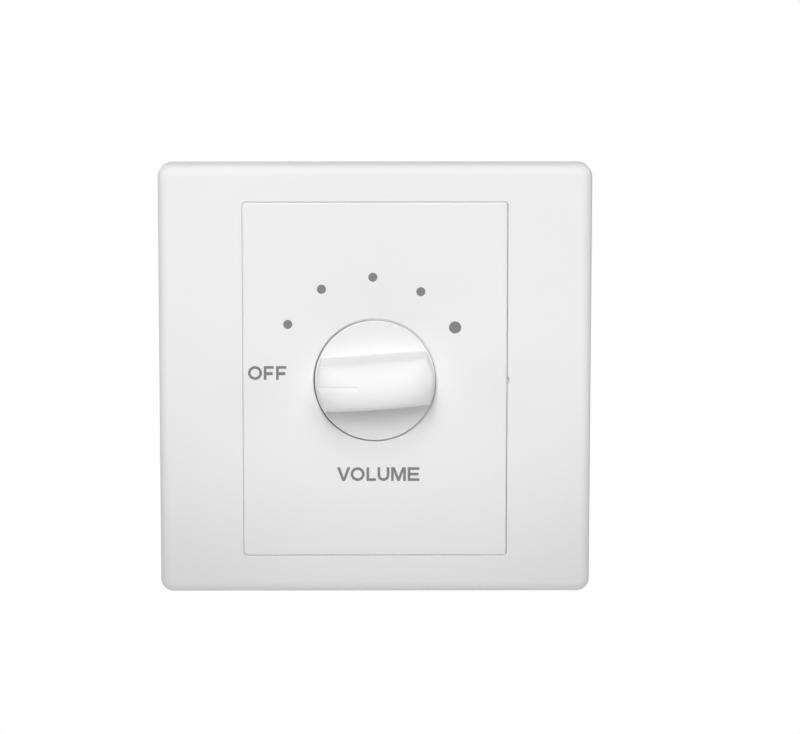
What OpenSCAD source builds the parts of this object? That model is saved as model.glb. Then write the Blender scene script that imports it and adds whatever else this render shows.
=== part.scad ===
// Wall volume controller on an 86 mm plate. A clip-on cover frame surrounds an insert panel with a
// turning knob. A carrier screws to the wall box and holds a stepped rotary switch, a circuit board,
// a tapped transformer and a terminal block, all within the depth of the box.
// Inside every module x runs to the right, y up the wall and z out of the wall towards the user,
// with the wall surface at z = 0. on_wall() then stands the piece up in the part's own frame.

/* [Cover frame] */
// Width of the cover frame
plate_w = 86; // [84:1:100]
// Height of the cover frame
plate_h = 86; // [84:1:100]
// Height of the front face above the wall
plate_t = 8; // [7.5:0.1:11]
// Radius of the frame's corners seen from the front
plate_corner_r = 2.6; // [2.4:0.1:6]
// Rounding of the frame's front edge
plate_edge_r = 2.2; // [0.6:0.1:2.3]
// Thickness of the frame's front wall
front_wall = 2.4; // [1.6:0.1:2.8]
// Thickness of the frame's side walls
side_wall = 1.8; // [1.2:0.1:2.4]
// Radius inside the frame's corners
pocket_r = 1; // [0.5:0.1:2]
// Gap between the frame's rim and the wall
rim_gap = 0.3; // [0.1:0.1:0.6]
// Gap between the frame's window and the insert panel
window_gap = 0.2; // [0.1:0.05:0.5]
// Length of the pry notch in the window's right edge
pry_len = 1.8; // [1:0.1:4]
// Depth of the pry notch into the frame
pry_depth = 0.4; // [0.2:0.1:1]
// Width of each push-fit leg behind the frame
leg_w = 8; // [5:0.5:12]
// Thickness of each push-fit leg
leg_t = 1.6; // [1.2:0.1:2.2]
// Height of the leg rows above and below the plate's middle
leg_rise = 24; // [16:1:28]
// Clearance round a leg in its socket
leg_fit = 0.06; // [0.04:0.01:0.1]

/* [Insert panel] */
// Width of the insert panel
panel_w = 52.2; // [50:0.1:54]
// Height of the insert panel
panel_h = 70.6; // [68:0.1:73]
// Radius of the panel's corners seen from the front
panel_corner_r = 0.6; // [0.3:0.1:1.2]
// Thickness of the panel's front wall
panel_t = 2; // [1.4:0.1:2.4]
// Thickness of the skirt behind the panel's edge
skirt_t = 1.4; // [1:0.1:2]
// Gap between the panel's hole and the knob
knob_gap = 0.35; // [0.25:0.05:0.6]
// Wall of the collar behind the knob hole
collar_wall = 1.2; // [0.8:0.1:2]
// Depth of the collar behind the panel's front wall
collar_depth = 2; // [1:0.1:2.4]
// Width of each snap hook
hook_w = 7; // [5:0.5:10]
// Distance between the two hooks of a row
hook_span = 26; // [20:1:34]
// Reach of a hook's barb
hook_barb = 0.7; // [0.4:0.1:1]
// Play between a hook and its ledge
hook_fit = 0.1; // [0.05:0.05:0.2]

/* [Knob] */
// Diameter of the knob's round base
knob_d = 24; // [22:0.1:28]
// Height of the round base, from rim to front
knob_base_h = 3; // [2.4:0.1:3.6]
// How far the round base stands proud of the panel
knob_proud = 0.5; // [0.3:0.1:1]
// Thickness of the round base's front wall
knob_wall = 1.5; // [1.2:0.1:2]
// Rounding of the round base's front rim
knob_rim_r = 0.4; // [0.2:0.1:0.8]
// Width of the grip at its foot
grip_w = 10; // [8:0.1:12]
// Width of the grip at its crown
grip_top_w = 9.2; // [7:0.1:10]
// Height of the grip above the round base
grip_h = 9.7; // [9:0.1:14]
// Radius of the crown across the grip
grip_crown_r = 7; // [5.2:0.1:12]
// Radius of the crown along the grip
grip_arch_r = 60; // [40:1:90]
// Rounding of the grip's two ends
grip_end_r = 3; // [1:0.1:4]
// Step from the round base's edge to the grip's ends
grip_inset = 0.3; // [0.1:0.1:1]
// Width of the pointer groove
pointer_w = 0.5; // [0.4:0.1:1]
// Depth of the pointer groove
pointer_depth = 0.25; // [0.1:0.05:0.6]
// Length of the pointer groove from the grip's end
pointer_len = 8.4; // [5:0.1:10]
// Turn of the grip at rest, anticlockwise seen from the front
knob_tilt = 4.2; // [-5:0.1:5]
// Radius of the hub round the spindle
hub_r = 5; // [4.4:0.1:6]
// Thickness of the spring clip on the spindle's flat
clip_t = 0.4; // [0.3:0.05:0.6]
// Width of the spring clip
clip_w = 3.4; // [2.4:0.1:3.6]
// Clearance of the spindle in the knob
knob_fit = 0.03; // [0.02:0.01:0.06]

/* [Carrier] */
// Thickness of the carrier plate
carrier_t = 2; // [1.6:0.1:2.4]
// Clearance between the carrier and the frame's side walls
carrier_clear = 0.6; // [0.4:0.1:1]
// Radius of the carrier's corners
carrier_corner_r = 2; // [1.8:0.1:4]
// Height of the rib round the carrier
rib_h = 1.5; // [1:0.1:2.4]
// Thickness of the rib round the carrier
rib_t = 1.2; // [0.8:0.1:1.6]
// Wall of each leg socket
socket_wall = 1.4; // [1:0.1:2]
// Height of each leg socket above the plate
socket_h = 2.4; // [1.6:0.1:2.8]
// Spacing of the two wall-box screws
box_spacing = 60.3; // [60:0.1:62]
// Width of each wall-box screw slot
slot_w = 4.2; // [4.2:0.1:5]
// Length of each wall-box screw slot
slot_len = 8; // [6:0.1:8]
// Depth of the recess behind the middle of the carrier
recess_depth = 0.4; // [0.2:0.1:0.6]
// Border of the recess round the circuit board
recess_border = 0.3; // [0.2:0.1:0.8]
// Height of the recess
recess_h = 75; // [74.5:0.1:76]
// Diameter of each post that carries the circuit board
post_d = 6; // [5:0.1:7]
// Distance from the wall surface back to the circuit board
board_gap = 15.5; // [15:0.1:18]

/* [Rotary switch] */
// Diameter of the switch housing
housing_d = 27; // [26:0.1:30]
// Depth of the switch housing
housing_depth = 11; // [10.5:0.1:12]
// Thickness of the housing's round wall
housing_wall = 2.5; // [2.4:0.1:3]
// Thickness of the housing's front
housing_front = 2.2; // [1.8:0.1:2.6]
// Diameter of the threaded bushing
bushing_d = 9.2; // [8.8:0.1:9.4]
// Thread that stands out of the nut
thread_show = 0.3; // [0.1:0.1:0.6]
// Diameter of the spindle
spindle_d = 6; // [5:0.1:6]
// Length of the spindle inside the grip
spindle_in_grip = 6.5; // [4:0.1:7]
// Running clearance of the spindle in its bearings
spindle_fit = 0.05; // [0.02:0.01:0.08]
// Thickness left between the spindle's flat and its far side
spindle_flat = 4.5; // [4:0.1:4.8]
// Diameter of the spindle's rear pivot
pivot_d = 4; // [3:0.1:4.4]
// Number of positions, with off as the first
positions = 6; // [3:1:6]
// Number of detent hollows round the housing
detents = 12; // [10:1:14]
// Depth of the detent hollows
detent_depth = 0.5; // [0.3:0.1:0.7]
// Diameter of the detent balls
ball_d = 3; // [2.6:0.1:3]
// Wire of the detent spring
spring_wire = 0.4; // [0.3:0.05:0.5]
// Number of curls of the detent spring
spring_curls = 14; // [10:1:16]
// Clearance between the rotor's moving edges and the housing
rotor_clear = 0.3; // [0.2:0.05:0.5]
// Room for the stops in front of the rotor
stop_room = 2.8; // [2.2:0.1:3.2]
// Width of the stops
stop_w = 1.8; // [1.4:0.1:2.2]
// Width of the rotor's lug
lug_w = 2.4; // [1.6:0.1:3]
// Diameter of the stop ring
ring_d = 17; // [16.5:0.1:18]
// Thickness of the stop ring
ring_t = 0.6; // [0.4:0.1:0.8]
// Thickness of the lock washer
washer_t = 0.6; // [0.4:0.1:0.8]
// Thickness of the bushing nut
nut_t = 2.2; // [1.6:0.1:2.4]
// Width of the bushing nut across its flats
nut_af = 12; // [11.5:0.5:13]
// Thickness of the switch base
base_t = 2; // [1.6:0.1:2.2]
// Radius of the ring of contacts
contact_r = 8.6; // [8:0.1:8.8]
// Radius of the common contact ring
common_r = 4.5; // [4.3:0.1:5]
// Height of the contacts above the base
contact_h = 0.5; // [0.4:0.1:0.7]
// Thickness of the wiper
wiper_t = 0.35; // [0.3:0.05:0.5]

/* [Circuit board] */
// Thickness of the circuit board
board_t = 1.6; // [1.2:0.1:2]
// Border of the board beyond the transformer and the terminals
board_edge = 0.8; // [0.6:0.1:1.2]
// Distance of the board screws from the board's edges
post_inset = 3.5; // [3.2:0.1:4]
// Diameter of a switch pin
pin_d = 1; // [0.8:0.1:1.1]
// Length of pin that stands out of the board
pin_tail = 1.1; // [0.8:0.1:1.3]
// Diameter of a solder joint at its foot
solder_d = 2.2; // [1.8:0.1:2.4]
// Height of a solder joint
solder_h = 0.8; // [0.6:0.1:1]

/* [Transformer] */
// Width of the core's middle leg
core_leg = 11; // [10:0.1:11.4]
// Thickness of the stack of laminations
stack_t = 11; // [9:0.1:12]
// Height of the core's lower edge above the switch axis
core_lift = 3.5; // [3:0.1:5]
// Wall of the bobbin
bobbin_wall = 0.8; // [0.6:0.1:1.2]
// Clearance of the bobbin on the core and in its windows
bobbin_fit = 0.1; // [0.05:0.05:0.2]
// Thickness of the bobbin's flanges
flange_t = 1; // [0.8:0.1:1.4]
// Step from the flange's edge in to the winding
winding_inset = 0.7; // [0.5:0.1:1]
// Thickness of the tape round the winding
tape_t = 0.3; // [0.2:0.05:0.45]
// Length of the pin ledges at the bobbin's foot
ledge_len = 4; // [3:0.1:5]
// Height of the pin ledges
ledge_h = 3.2; // [2.6:0.1:4]
// Distance between neighbouring transformer pins
coil_pin_pitch = 5; // [4:0.1:5.4]
// Diameter of a transformer pin
coil_pin_d = 0.8; // [0.6:0.1:1]
// Thickness of the steel bracket round the core
bracket_t = 0.8; // [0.6:0.1:1.2]
// Width of the bracket's arms and feet
bracket_w = 9; // [7:0.5:14]
// Length of the bracket's feet
foot_len = 7; // [6.6:0.1:8]

/* [Terminal block] */
// Number of terminals
poles = 4; // [2:1:4]
// Distance between neighbouring terminals
pole_pitch = 7.62; // [7.5:0.02:7.7]
// Length of the terminal block from its wire side to its back
block_len = 11; // [10.8:0.1:12]
// Height of the terminal block on the board
block_h = 13; // [12.6:0.1:14]
// Height of the block's back below the switch axis
block_drop = 21; // [20.5:0.1:22]
// Width of each wire entry
entry_w = 5.2; // [5:0.1:5.4]
// Height of each wire entry
entry_h = 5.2; // [5:0.1:5.4]
// Depth of each wire entry
entry_depth = 5.4; // [5:0.1:5.6]
// Height of the wire entries above the board
entry_rise = 2.4; // [2:0.1:2.8]
// Width of each wire clamp
clamp_w = 5.4; // [5:0.1:5.6]
// Length of each wire clamp along the wire
clamp_len = 4; // [3.6:0.1:4.2]
// Sheet thickness of each wire clamp
clamp_t = 0.8; // [0.6:0.1:1]
// Clearance round each wire clamp in the block
clamp_fit = 0.1; // [0.05:0.05:0.2]

/* [Fasteners] */
// Diameter of a board screw's thread
board_screw_d = 2.2; // [2:0.1:2.6]
// Diameter of a board screw's head
board_screw_head_d = 5; // [4.4:0.1:5.4]
// Height of a board screw's head
board_screw_head_h = 1.8; // [1.4:0.1:2.2]
// Grip of a board screw in its post
board_screw_grip = 6; // [4:0.5:9]
// Diameter of a bracket screw's thread
bracket_screw_d = 2.9; // [2.5:0.1:3]
// Diameter of a bracket screw's head
bracket_screw_head_d = 5.4; // [5:0.1:5.8]
// Height of a bracket screw's head
bracket_screw_head_h = 2; // [1.6:0.1:2.4]
// Width of a bracket nut across its flats
bracket_nut_af = 5.5; // [5:0.1:5.8]
// Thickness of a bracket nut
bracket_nut_t = 2.2; // [1.8:0.1:2.4]
// Diameter of a terminal screw's thread
clamp_screw_d = 2.5; // [2.2:0.1:2.8]
// Diameter of a terminal screw's head
clamp_screw_head_d = 4.4; // [4:0.1:4.8]
// Height of a terminal screw's head
clamp_screw_head_h = 1.8; // [1.4:0.1:2]

/* [Hidden] */
$fn = 64;

// Overrun of a cutter past the face it cuts, and overlap of two bodies that are moulded as one
over = 1;
sink = 0.4;
// Play between a thread and its bore, and between a pin and its hole
thread_fit = 0.02;
pin_fit = 0.02;
both = [-1, 1];

// Cover frame and carrier
front_under = plate_t - front_wall;
pocket_w = plate_w - 2 * side_wall;
pocket_h = plate_h - 2 * side_wall;
window_w = panel_w + 2 * window_gap;
window_h = panel_h + 2 * window_gap;
window_r = panel_corner_r + window_gap;
pry_cut = front_wall / 2;
carrier_w = pocket_w - 2 * carrier_clear;
carrier_h = pocket_h - 2 * carrier_clear;
leg_x = carrier_w / 2 - socket_wall - leg_fit - leg_t / 2;
web_z = recess_depth;
ledge_z = carrier_t / 2;
hook_flex = hook_barb + 2 * hook_fit;

// Insert panel and knob
panel_rear = plate_t - panel_t;
knob_hole_d = knob_d + 2 * knob_gap;
knob_face = plate_t + knob_proud;
knob_rear = knob_face - knob_base_h;
knob_under = knob_face - knob_wall;
skirt_in_r = knob_d / 2 - knob_wall;
grip_r = knob_d / 2 - grip_inset;
grip_end_drop = grip_arch_r - sqrt(pow(grip_arch_r, 2) - pow(grip_r - grip_end_r, 2));
bushing_end = carrier_t + washer_t + nut_t + thread_show;
hub_rear = bushing_end + rotor_clear;
spindle_top = knob_face + spindle_in_grip;
flat_start = bushing_end;
flat_y = spindle_flat - spindle_d / 2;
clip_y = flat_y + knob_fit;
bore_flat_y = clip_y + clip_t + knob_fit;

// Rotary switch, from the carrier backwards
housing_r = housing_d / 2;
cavity_r = housing_r - housing_wall;
housing_rear = web_z - housing_depth;
cavity_top = web_z - housing_front;
step_angle = 360 / detents;
spigot_h = 0.6;
spigot_top = housing_rear + spigot_h;
contact_top = spigot_top + contact_h;
dimple_h = 0.25;
rotor_front = cavity_top - stop_room;
rotor_rear = contact_top + rotor_clear + dimple_h + wiper_t;
rotor_mid = (rotor_front + rotor_rear) / 2;
hub_step = 1.2;
hub_step_r = spindle_d / 2 + hub_step;
hub_step_top = cavity_top - rotor_clear;
ball_tip_r = cavity_r - rotor_clear / 2;
ball_ring_r = ball_tip_r - ball_d / 2;
ball_offset = 0.7;
rotor_r = ball_ring_r - ball_offset;
ball_play = 0.1;
ball_hole_d = ball_d + 2 * ball_play;
spring_play = 0.3;
spring_r = ball_hole_d / 2 - spring_play - spring_wire / 2;
spring_seat = sqrt(pow(ball_d / 2, 2) - pow(spring_r - spring_wire / 2, 2));
spring_run = 2 * (ball_ring_r - spring_seat - ball_play - spring_wire / 2);
spring_pitch = spring_run / spring_curls;
base_rear = housing_rear - base_t;
turn = (positions - 1) * step_angle;
stop_in_r = hub_step_r + hub_step;
stop_out_r = rotor_r - rotor_clear;
stop_mid_r = (stop_in_r + stop_out_r) / 2;
stop_play = 3;
stop_at = turn / 2 + asin(lug_w / 2 / stop_in_r) + asin(stop_w / 2 / stop_in_r) + stop_play;
tab_t = 1.2;
first_contact = -15;
stake_angles = [90, 210, 330];
stake_r = cavity_r + housing_wall / 2;
stake_d = 1.4;
stake_head_d = 2.2;
stake_head_h = 0.5;
peg_step = 2;
peg_r = ring_d / 2 + peg_step;
peg_d = 2.2;
peg_fit = 0.1;

// Transformer, with its core lying flat behind the board
core_w = 3 * core_leg;
core_h = 2.5 * core_leg;
core_win_w = core_leg / 2;
core_win_h = 1.5 * core_leg;
yoke = core_leg / 2;
core_y = core_lift + core_h / 2;
tube_w = core_leg + 2 * (bobbin_fit + bobbin_wall);
tube_d = stack_t + 2 * (bobbin_fit + bobbin_wall);
flange_w = core_leg + 2 * core_win_w - 4 * bobbin_fit;
flange_d = tube_d + flange_w - tube_w;
coil_len = core_win_h - 2 * bobbin_fit;
winding_len = coil_len - 2 * flange_t;
winding_r = 1.5;
board_front = -board_gap;
board_rear = board_front - board_t;
core_z = board_rear - flange_d / 2;
core_rear = core_z - stack_t / 2;
coil_pin_y = coil_len / 2 + ledge_len / 2;
coil_pins = 4;
coil_pin_seat = ledge_h / 2;
foot_x = core_w / 2 + bracket_t + foot_len / 2;

// Circuit board, wide enough for the bracket and long enough for the terminals
board_w = core_w + 2 * (bracket_t + foot_len + board_edge);
board_head = 1.8;
board_top = core_y + core_h / 2 + board_head;
block_back = -block_drop;
block_front = block_back - block_len;
board_bottom = block_front - board_edge;
board_h = board_top - board_bottom;
board_mid = (board_top + board_bottom) / 2;
board_corner_r = 1.5;
post_x = board_w / 2 - post_inset;
post_ys = [board_top - post_inset, board_bottom + post_inset];
hole_slack = 0.3;
recess_w = board_w + 2 * recess_border;
clamp_h = entry_h + 2 * clamp_t;
clamp_rear = board_rear - entry_rise - entry_h - clamp_t;
clamp_y = block_front + entry_depth + clamp_fit + clamp_len / 2;
clamp_tail_d = 1.1;
clamp_bolt_rear = board_rear - block_h;

// Colours as the finished pieces show
white_plastic = [0.94, 0.94, 0.93];
black_plastic = [0.13, 0.13, 0.14];
steel = [0.72, 0.73, 0.75];
brass = [0.80, 0.66, 0.36];
copper = [0.72, 0.42, 0.24];
phenolic = [0.45, 0.30, 0.18];
board_green = [0.16, 0.38, 0.24];
core_grey = [0.36, 0.37, 0.39];
tape_yellow = [0.90, 0.76, 0.22];
block_green = [0.20, 0.52, 0.30];
solder = [0.80, 0.80, 0.82];

// Places of the pins that pass through the circuit board
function ring_place(r, a) = [r * cos(a), r * sin(a)];
switch_pin_places = concat(
    [for (i = [0 : positions - 1]) ring_place(contact_r, first_contact - i * step_angle)],
    [[0, -common_r]]
);
coil_pin_places = [
    for (s = both, i = [0 : coil_pins - 1])
        [(i - (coil_pins - 1) / 2) * coil_pin_pitch, core_y + s * coil_pin_y]
];
pole_xs = [for (i = [0 : poles - 1]) (i - (poles - 1) / 2) * pole_pitch];
clamp_tail_places = [for (x = pole_xs) [x, clamp_y]];
post_places = [for (sx = both, y = post_ys) [sx * post_x, y]];
foot_places = [for (sx = both) [sx * foot_x, core_y]];
leg_places = [for (sx = both, sy = both) [sx * leg_x, sy * leg_rise]];

// Stands a piece up against the wall: y becomes height, z points away from the wall
module on_wall() {
    rotate([90, 0, 0]) children();
}

// Flat outline raised between two heights
module slab(z0, z1) {
    translate([0, 0, z0]) linear_extrude(z1 - z0) children();
}

// Round bar along z between two heights
module rod(d, z0, z1) {
    translate([0, 0, z0]) cylinder(d = d, h = z1 - z0);
}

// Box centred on x and y between two heights
module block(w, h, z0, z1) {
    translate([-w / 2, -h / 2, z0]) cube([w, h, z1 - z0]);
}

// Children copied to each place
module at(places) {
    for (p = places) translate([p[0], p[1], 0]) children();
}

// Rectangle with round corners
module round_rect(w, h, r) {
    square([w - 2 * r, h], center = true);
    square([w, h - 2 * r], center = true);
    for (sx = both, sy = both) translate([sx * (w / 2 - r), sy * (h / 2 - r)]) circle(r = r);
}

// Slot with round ends along x
module stadium(len, w) {
    square([len - w, w], center = true);
    for (sx = both) translate([sx * (len - w) / 2, 0]) circle(d = w);
}

// Half section of a slab whose front edge is rounded
module edge_section(reach, t, r) {
    square([reach, t - r]);
    square([reach - r, t]);
    translate([reach - r, t - r]) intersection() {
        circle(r = r);
        square(r);
    }
}

// Whole section of the same slab
module slab_section(w, t, r) {
    edge_section(w / 2, t, r);
    mirror([1, 0]) edge_section(w / 2, t, r);
}

// Slab with round corners and a rounded front edge
module rounded_slab(w, h, t, corner, edge) {
    rotate([90, 0, 0]) linear_extrude(h - 2 * corner, center = true) slab_section(w, t, edge);
    rotate([90, 0, 90]) linear_extrude(w - 2 * corner, center = true) slab_section(h, t, edge);
    for (sx = both, sy = both)
        translate([sx * (w / 2 - corner), sy * (h / 2 - corner), 0])
            rotate_extrude() edge_section(corner, t, edge);
}

// Screw with its head below z = 0, a cross recess in the head and its thread above
module screw(d, head_d, head_h, len) {
    cross_len = head_d * 0.6;
    cross_w = head_d / 6;
    cross_depth = head_h / 2;
    difference() {
        union() {
            rod(head_d, -head_h, 0);
            rod(d, -sink, len);
        }
        for (a = [0, 90])
            rotate(a) block(cross_len, cross_w, -head_h - over, -head_h + cross_depth);
    }
}

// Hexagonal nut with a bore
module hex_nut(af, bore_d, z0, z1) {
    difference() {
        translate([0, 0, z0]) cylinder(d = af / cos(30), h = z1 - z0, $fn = 6);
        rod(bore_d, z0 - over, z1 + over);
    }
}

module cover_frame() {
    color(white_plastic) on_wall() {
        difference() {
            translate([0, 0, rim_gap])
                rounded_slab(plate_w, plate_h, plate_t - rim_gap, plate_corner_r, plate_edge_r);
            slab(rim_gap - over, front_under) round_rect(pocket_w, pocket_h, pocket_r);
            slab(front_under - over, plate_t + over) round_rect(window_w, window_h, window_r);
            translate([window_w / 2, 0, 0])
                block(2 * pry_depth, pry_len, plate_t - pry_cut, plate_t + over);
        }
        at(leg_places) block(leg_t, leg_w, rim_gap, front_under + sink);
    }
}

// One snap hook, its tongue in line with the panel's skirt and its barb pointing up
module snap_hook() {
    y1 = panel_h / 2;
    y0 = y1 - skirt_t;
    barb_z = ledge_z - hook_fit / 2;
    tip_z = hook_fit;
    rotate([90, 0, 90]) linear_extrude(hook_w, center = true) polygon([
        [y0, carrier_t + sink], [y1, carrier_t + sink], [y1, barb_z],
        [y1 + hook_barb, barb_z], [y1, tip_z], [y0, tip_z]
    ]);
}

module insert_panel() {
    collar_rear = panel_rear - collar_depth;
    color(white_plastic) on_wall() difference() {
        union() {
            slab(panel_rear, plate_t) round_rect(panel_w, panel_h, panel_corner_r);
            slab(carrier_t, panel_rear + sink) difference() {
                round_rect(panel_w, panel_h, panel_corner_r);
                square([panel_w - 2 * skirt_t, panel_h - 2 * skirt_t], center = true);
            }
            rod(knob_hole_d + 2 * collar_wall, collar_rear, panel_rear + sink);
            for (sx = both, sy = [0, 1])
                mirror([0, sy, 0]) translate([sx * hook_span / 2, 0, 0]) snap_hook();
        }
        rod(knob_hole_d, collar_rear - over, plate_t + over);
    }
}

// Side view of the grip's limits: full height in the middle, lower and round at the two ends
module grip_side() {
    mid = grip_r - grip_end_r;
    translate([-mid, -sink]) square([2 * mid, grip_h + sink]);
    translate([0, -sink]) slab_section(2 * grip_r, grip_h - grip_end_drop + sink, grip_end_r);
}

// End view of the grip: tapered sides and a round crown
module grip_end() {
    intersection() {
        polygon([
            [-grip_w / 2, -sink], [grip_w / 2, -sink], [grip_w / 2, 0],
            [grip_top_w / 2, grip_h], [-grip_top_w / 2, grip_h], [-grip_w / 2, 0]
        ]);
        union() {
            translate([0, grip_h - grip_crown_r]) circle(r = grip_crown_r);
            translate([-grip_w / 2, -sink]) square([grip_w, sink + grip_h - grip_crown_r]);
        }
    }
}

// Grip whose end view is swept along its arch, with the pointer groove in one half of its crown
module grip() {
    arch_z = grip_h - grip_arch_r;
    translate([0, 0, knob_face]) difference() {
        intersection() {
            translate([0, 0, arch_z]) rotate([90, 0, 0])
                rotate_extrude() translate([-arch_z, 0]) rotate(-90) grip_end();
            rotate([90, 0, 0]) linear_extrude(knob_d, center = true) grip_side();
            rod(2 * grip_r, -sink, grip_h);
        }
        rotate([90, 0, 0]) linear_extrude(pointer_w, center = true) difference() {
            translate([-grip_r - over, grip_h / 2]) square([pointer_len + over, grip_h]);
            translate([0, arch_z - pointer_depth]) circle(r = grip_arch_r);
        }
    }
}

module knob() {
    color(white_plastic) on_wall() rotate(knob_tilt) difference() {
        union() {
            translate([0, 0, knob_rear]) rotate_extrude() edge_section(knob_d / 2, knob_base_h, knob_rim_r);
            grip();
        }
        difference() {
            rod(2 * skirt_in_r, knob_rear - over, knob_under);
            rod(2 * hub_r, hub_rear, knob_under + over);
        }
        intersection() {
            rod(spindle_d + 2 * knob_fit, knob_rear, spindle_top + rotor_clear);
            translate([0, bore_flat_y - knob_d / 2, 0]) block(knob_d, knob_d, knob_rear, knob_face + grip_h);
        }
    }
}

module knob_clip() {
    clip_end = spindle_top - rotor_clear;
    color(steel) on_wall() rotate(knob_tilt)
        translate([0, clip_y + clip_t / 2, 0]) block(clip_w, clip_t, hub_rear + rotor_clear, clip_end);
}

module carrier() {
    color(white_plastic) on_wall() difference() {
        union() {
            slab(0, carrier_t) round_rect(carrier_w, carrier_h, carrier_corner_r);
            slab(carrier_t - sink, carrier_t + rib_h) difference() {
                round_rect(carrier_w, carrier_h, carrier_corner_r);
                round_rect(carrier_w - 2 * rib_t, carrier_h - 2 * rib_t, carrier_corner_r - rib_t);
            }
            at(leg_places)
                block(
                    leg_t + 2 * (leg_fit + socket_wall), leg_w + 2 * (leg_fit + socket_wall),
                    0, carrier_t + socket_h
                );
        }
        slab(-over, web_z) square([recess_w, recess_h], center = true);
        at(leg_places)
            block(leg_t + 2 * leg_fit, leg_w + 2 * leg_fit, -over, carrier_t + socket_h + over);
        for (sx = both) translate([sx * box_spacing / 2, 0, 0])
            slab(-over, carrier_t + over) stadium(slot_len, slot_w);
        for (sx = both, sy = [0, 1]) mirror([0, sy, 0]) translate([sx * hook_span / 2, 0, 0]) hook_slot();
        rod(bushing_d + 2 * peg_fit, -over, carrier_t + over);
        translate([0, -peg_r, 0]) rod(peg_d + 2 * peg_fit, -over, carrier_t + over);
    }
    color(white_plastic) on_wall() at(post_places) difference() {
        rod(post_d, board_front, web_z + sink);
        rod(board_screw_d, board_front - over, board_front + board_screw_grip + over);
    }
}

// Slot for a snap hook: a through slot, and a rebate behind it that forms the ledge
module hook_slot() {
    w = hook_w + 4 * hook_fit;
    y1 = panel_h / 2;
    y0 = y1 - skirt_t - hook_flex;
    slot_out = y1 + hook_fit;
    rebate_out = y1 + hook_barb + 2 * hook_fit;
    translate([0, (y0 + slot_out) / 2, 0]) block(w, slot_out - y0, -over, carrier_t + over);
    translate([0, (y0 + rebate_out) / 2, 0]) block(w, rebate_out - y0, -over, ledge_z);
}

module switch_housing() {
    color(black_plastic) on_wall() difference() {
        union() {
            difference() {
                rod(housing_d, housing_rear, web_z);
                rod(2 * cavity_r, housing_rear - over, cavity_top);
                for (i = [0 : detents - 1]) rotate(i * step_angle)
                    translate([cavity_r + detent_depth - ball_d / 2, 0, 0])
                        rod(ball_d, housing_rear - over, rotor_front + rotor_clear);
            }
            rod(bushing_d, web_z - sink, bushing_end);
            rotate(-stop_at) stop_rib();
            translate([0, -peg_r, 0]) rod(peg_d, web_z - sink, carrier_t);
            for (a = stake_angles) rotate(a) translate([stake_r, 0, 0]) {
                rod(stake_d, base_rear - sink, housing_rear + sink);
                rod(stake_head_d, base_rear - stake_head_h, base_rear);
            }
        }
        rod(spindle_d + 2 * spindle_fit, housing_rear, bushing_end + over);
        difference() {
            rod(ring_d + 2 * peg_fit, web_z - ring_t, web_z + over);
            rod(bushing_d, web_z - ring_t - over, web_z + 2 * over);
        }
        rotate(stop_at) translate([stop_mid_r, 0, 0])
            block(tab_t + 2 * peg_fit, stop_w + 2 * peg_fit, cavity_top - over, web_z + over);
    }
}

// Fixed stop inside the housing's front
module stop_rib() {
    translate([stop_mid_r, 0, 0])
        block(stop_out_r - stop_in_r, stop_w, rotor_front + rotor_clear, cavity_top + sink);
}

module switch_spindle() {
    color(steel) on_wall() difference() {
        union() {
            rod(spindle_d, rotor_front - sink, spindle_top);
            rod(2 * hub_step_r, rotor_front - sink, hub_step_top);
            rod(2 * rotor_r, rotor_rear, rotor_front);
            rod(pivot_d, base_rear + rotor_clear, rotor_rear + sink);
            rotate(turn / 2) translate([stop_mid_r, 0, 0])
                block(stop_out_r - stop_in_r, lug_w, rotor_front - sink, cavity_top - rotor_clear);
        }
        translate([0, 0, rotor_mid]) rotate([0, 90, 0])
            cylinder(d = ball_hole_d, h = 2 * (rotor_r + over), center = true);
        rotate(knob_tilt) translate([0, flat_y + spindle_d / 2, 0])
            block(2 * spindle_d, spindle_d, flat_start, spindle_top + over);
    }
}

module detent_balls() {
    color(steel) on_wall()
        for (sx = both) translate([sx * ball_ring_r, 0, rotor_mid]) sphere(d = ball_d);
}

// Points of the detent spring's centre line, from ball to ball
spring_steps = 8;
function spring_point(i) =
    let (a = i * 360 / spring_steps)
    [-spring_run / 2 + spring_pitch * i / spring_steps, spring_r * cos(a), spring_r * sin(a)];
spring_line = [for (i = [0 : spring_curls * spring_steps]) spring_point(i)];
spring_gap = min([
    for (i = [0 : len(spring_line) - 1 - spring_steps])
        for (j = [i + spring_steps - 2 : min(i + spring_steps + 2, len(spring_line) - 1)])
            norm(spring_line[j] - spring_line[i])
]) - spring_wire;
echo(spring_least_gap = spring_gap);

// Ring of points round the centre line, in the plane of the spring's axis and its radius
function wire_ring(p, sides) =
    let (out = [0, p[1], p[2]] / norm([0, p[1], p[2]]))
    [for (a = [0 : 360 / sides : 359]) p + spring_wire / 2 * (cos(a) * [1, 0, 0] + sin(a) * out)];

module detent_spring() {
    sides = 6;
    rings = len(spring_line);
    points = [for (p = spring_line) each wire_ring(p, sides)];
    walls = [
        for (i = [0 : rings - 2], k = [0 : sides - 1])
            let (a = i * sides + k, b = i * sides + (k + 1) % sides)
            each [[a, b, b + sides], [a, b + sides, a + sides]]
    ];
    first_end = [for (k = [1 : sides - 2]) [0, k + 1, k]];
    last = (rings - 1) * sides;
    last_end = [for (k = [1 : sides - 2]) [last, last + k, last + k + 1]];
    color(steel) on_wall() translate([0, 0, rotor_mid])
        polyhedron(points, concat(walls, first_end, last_end));
}

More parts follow.
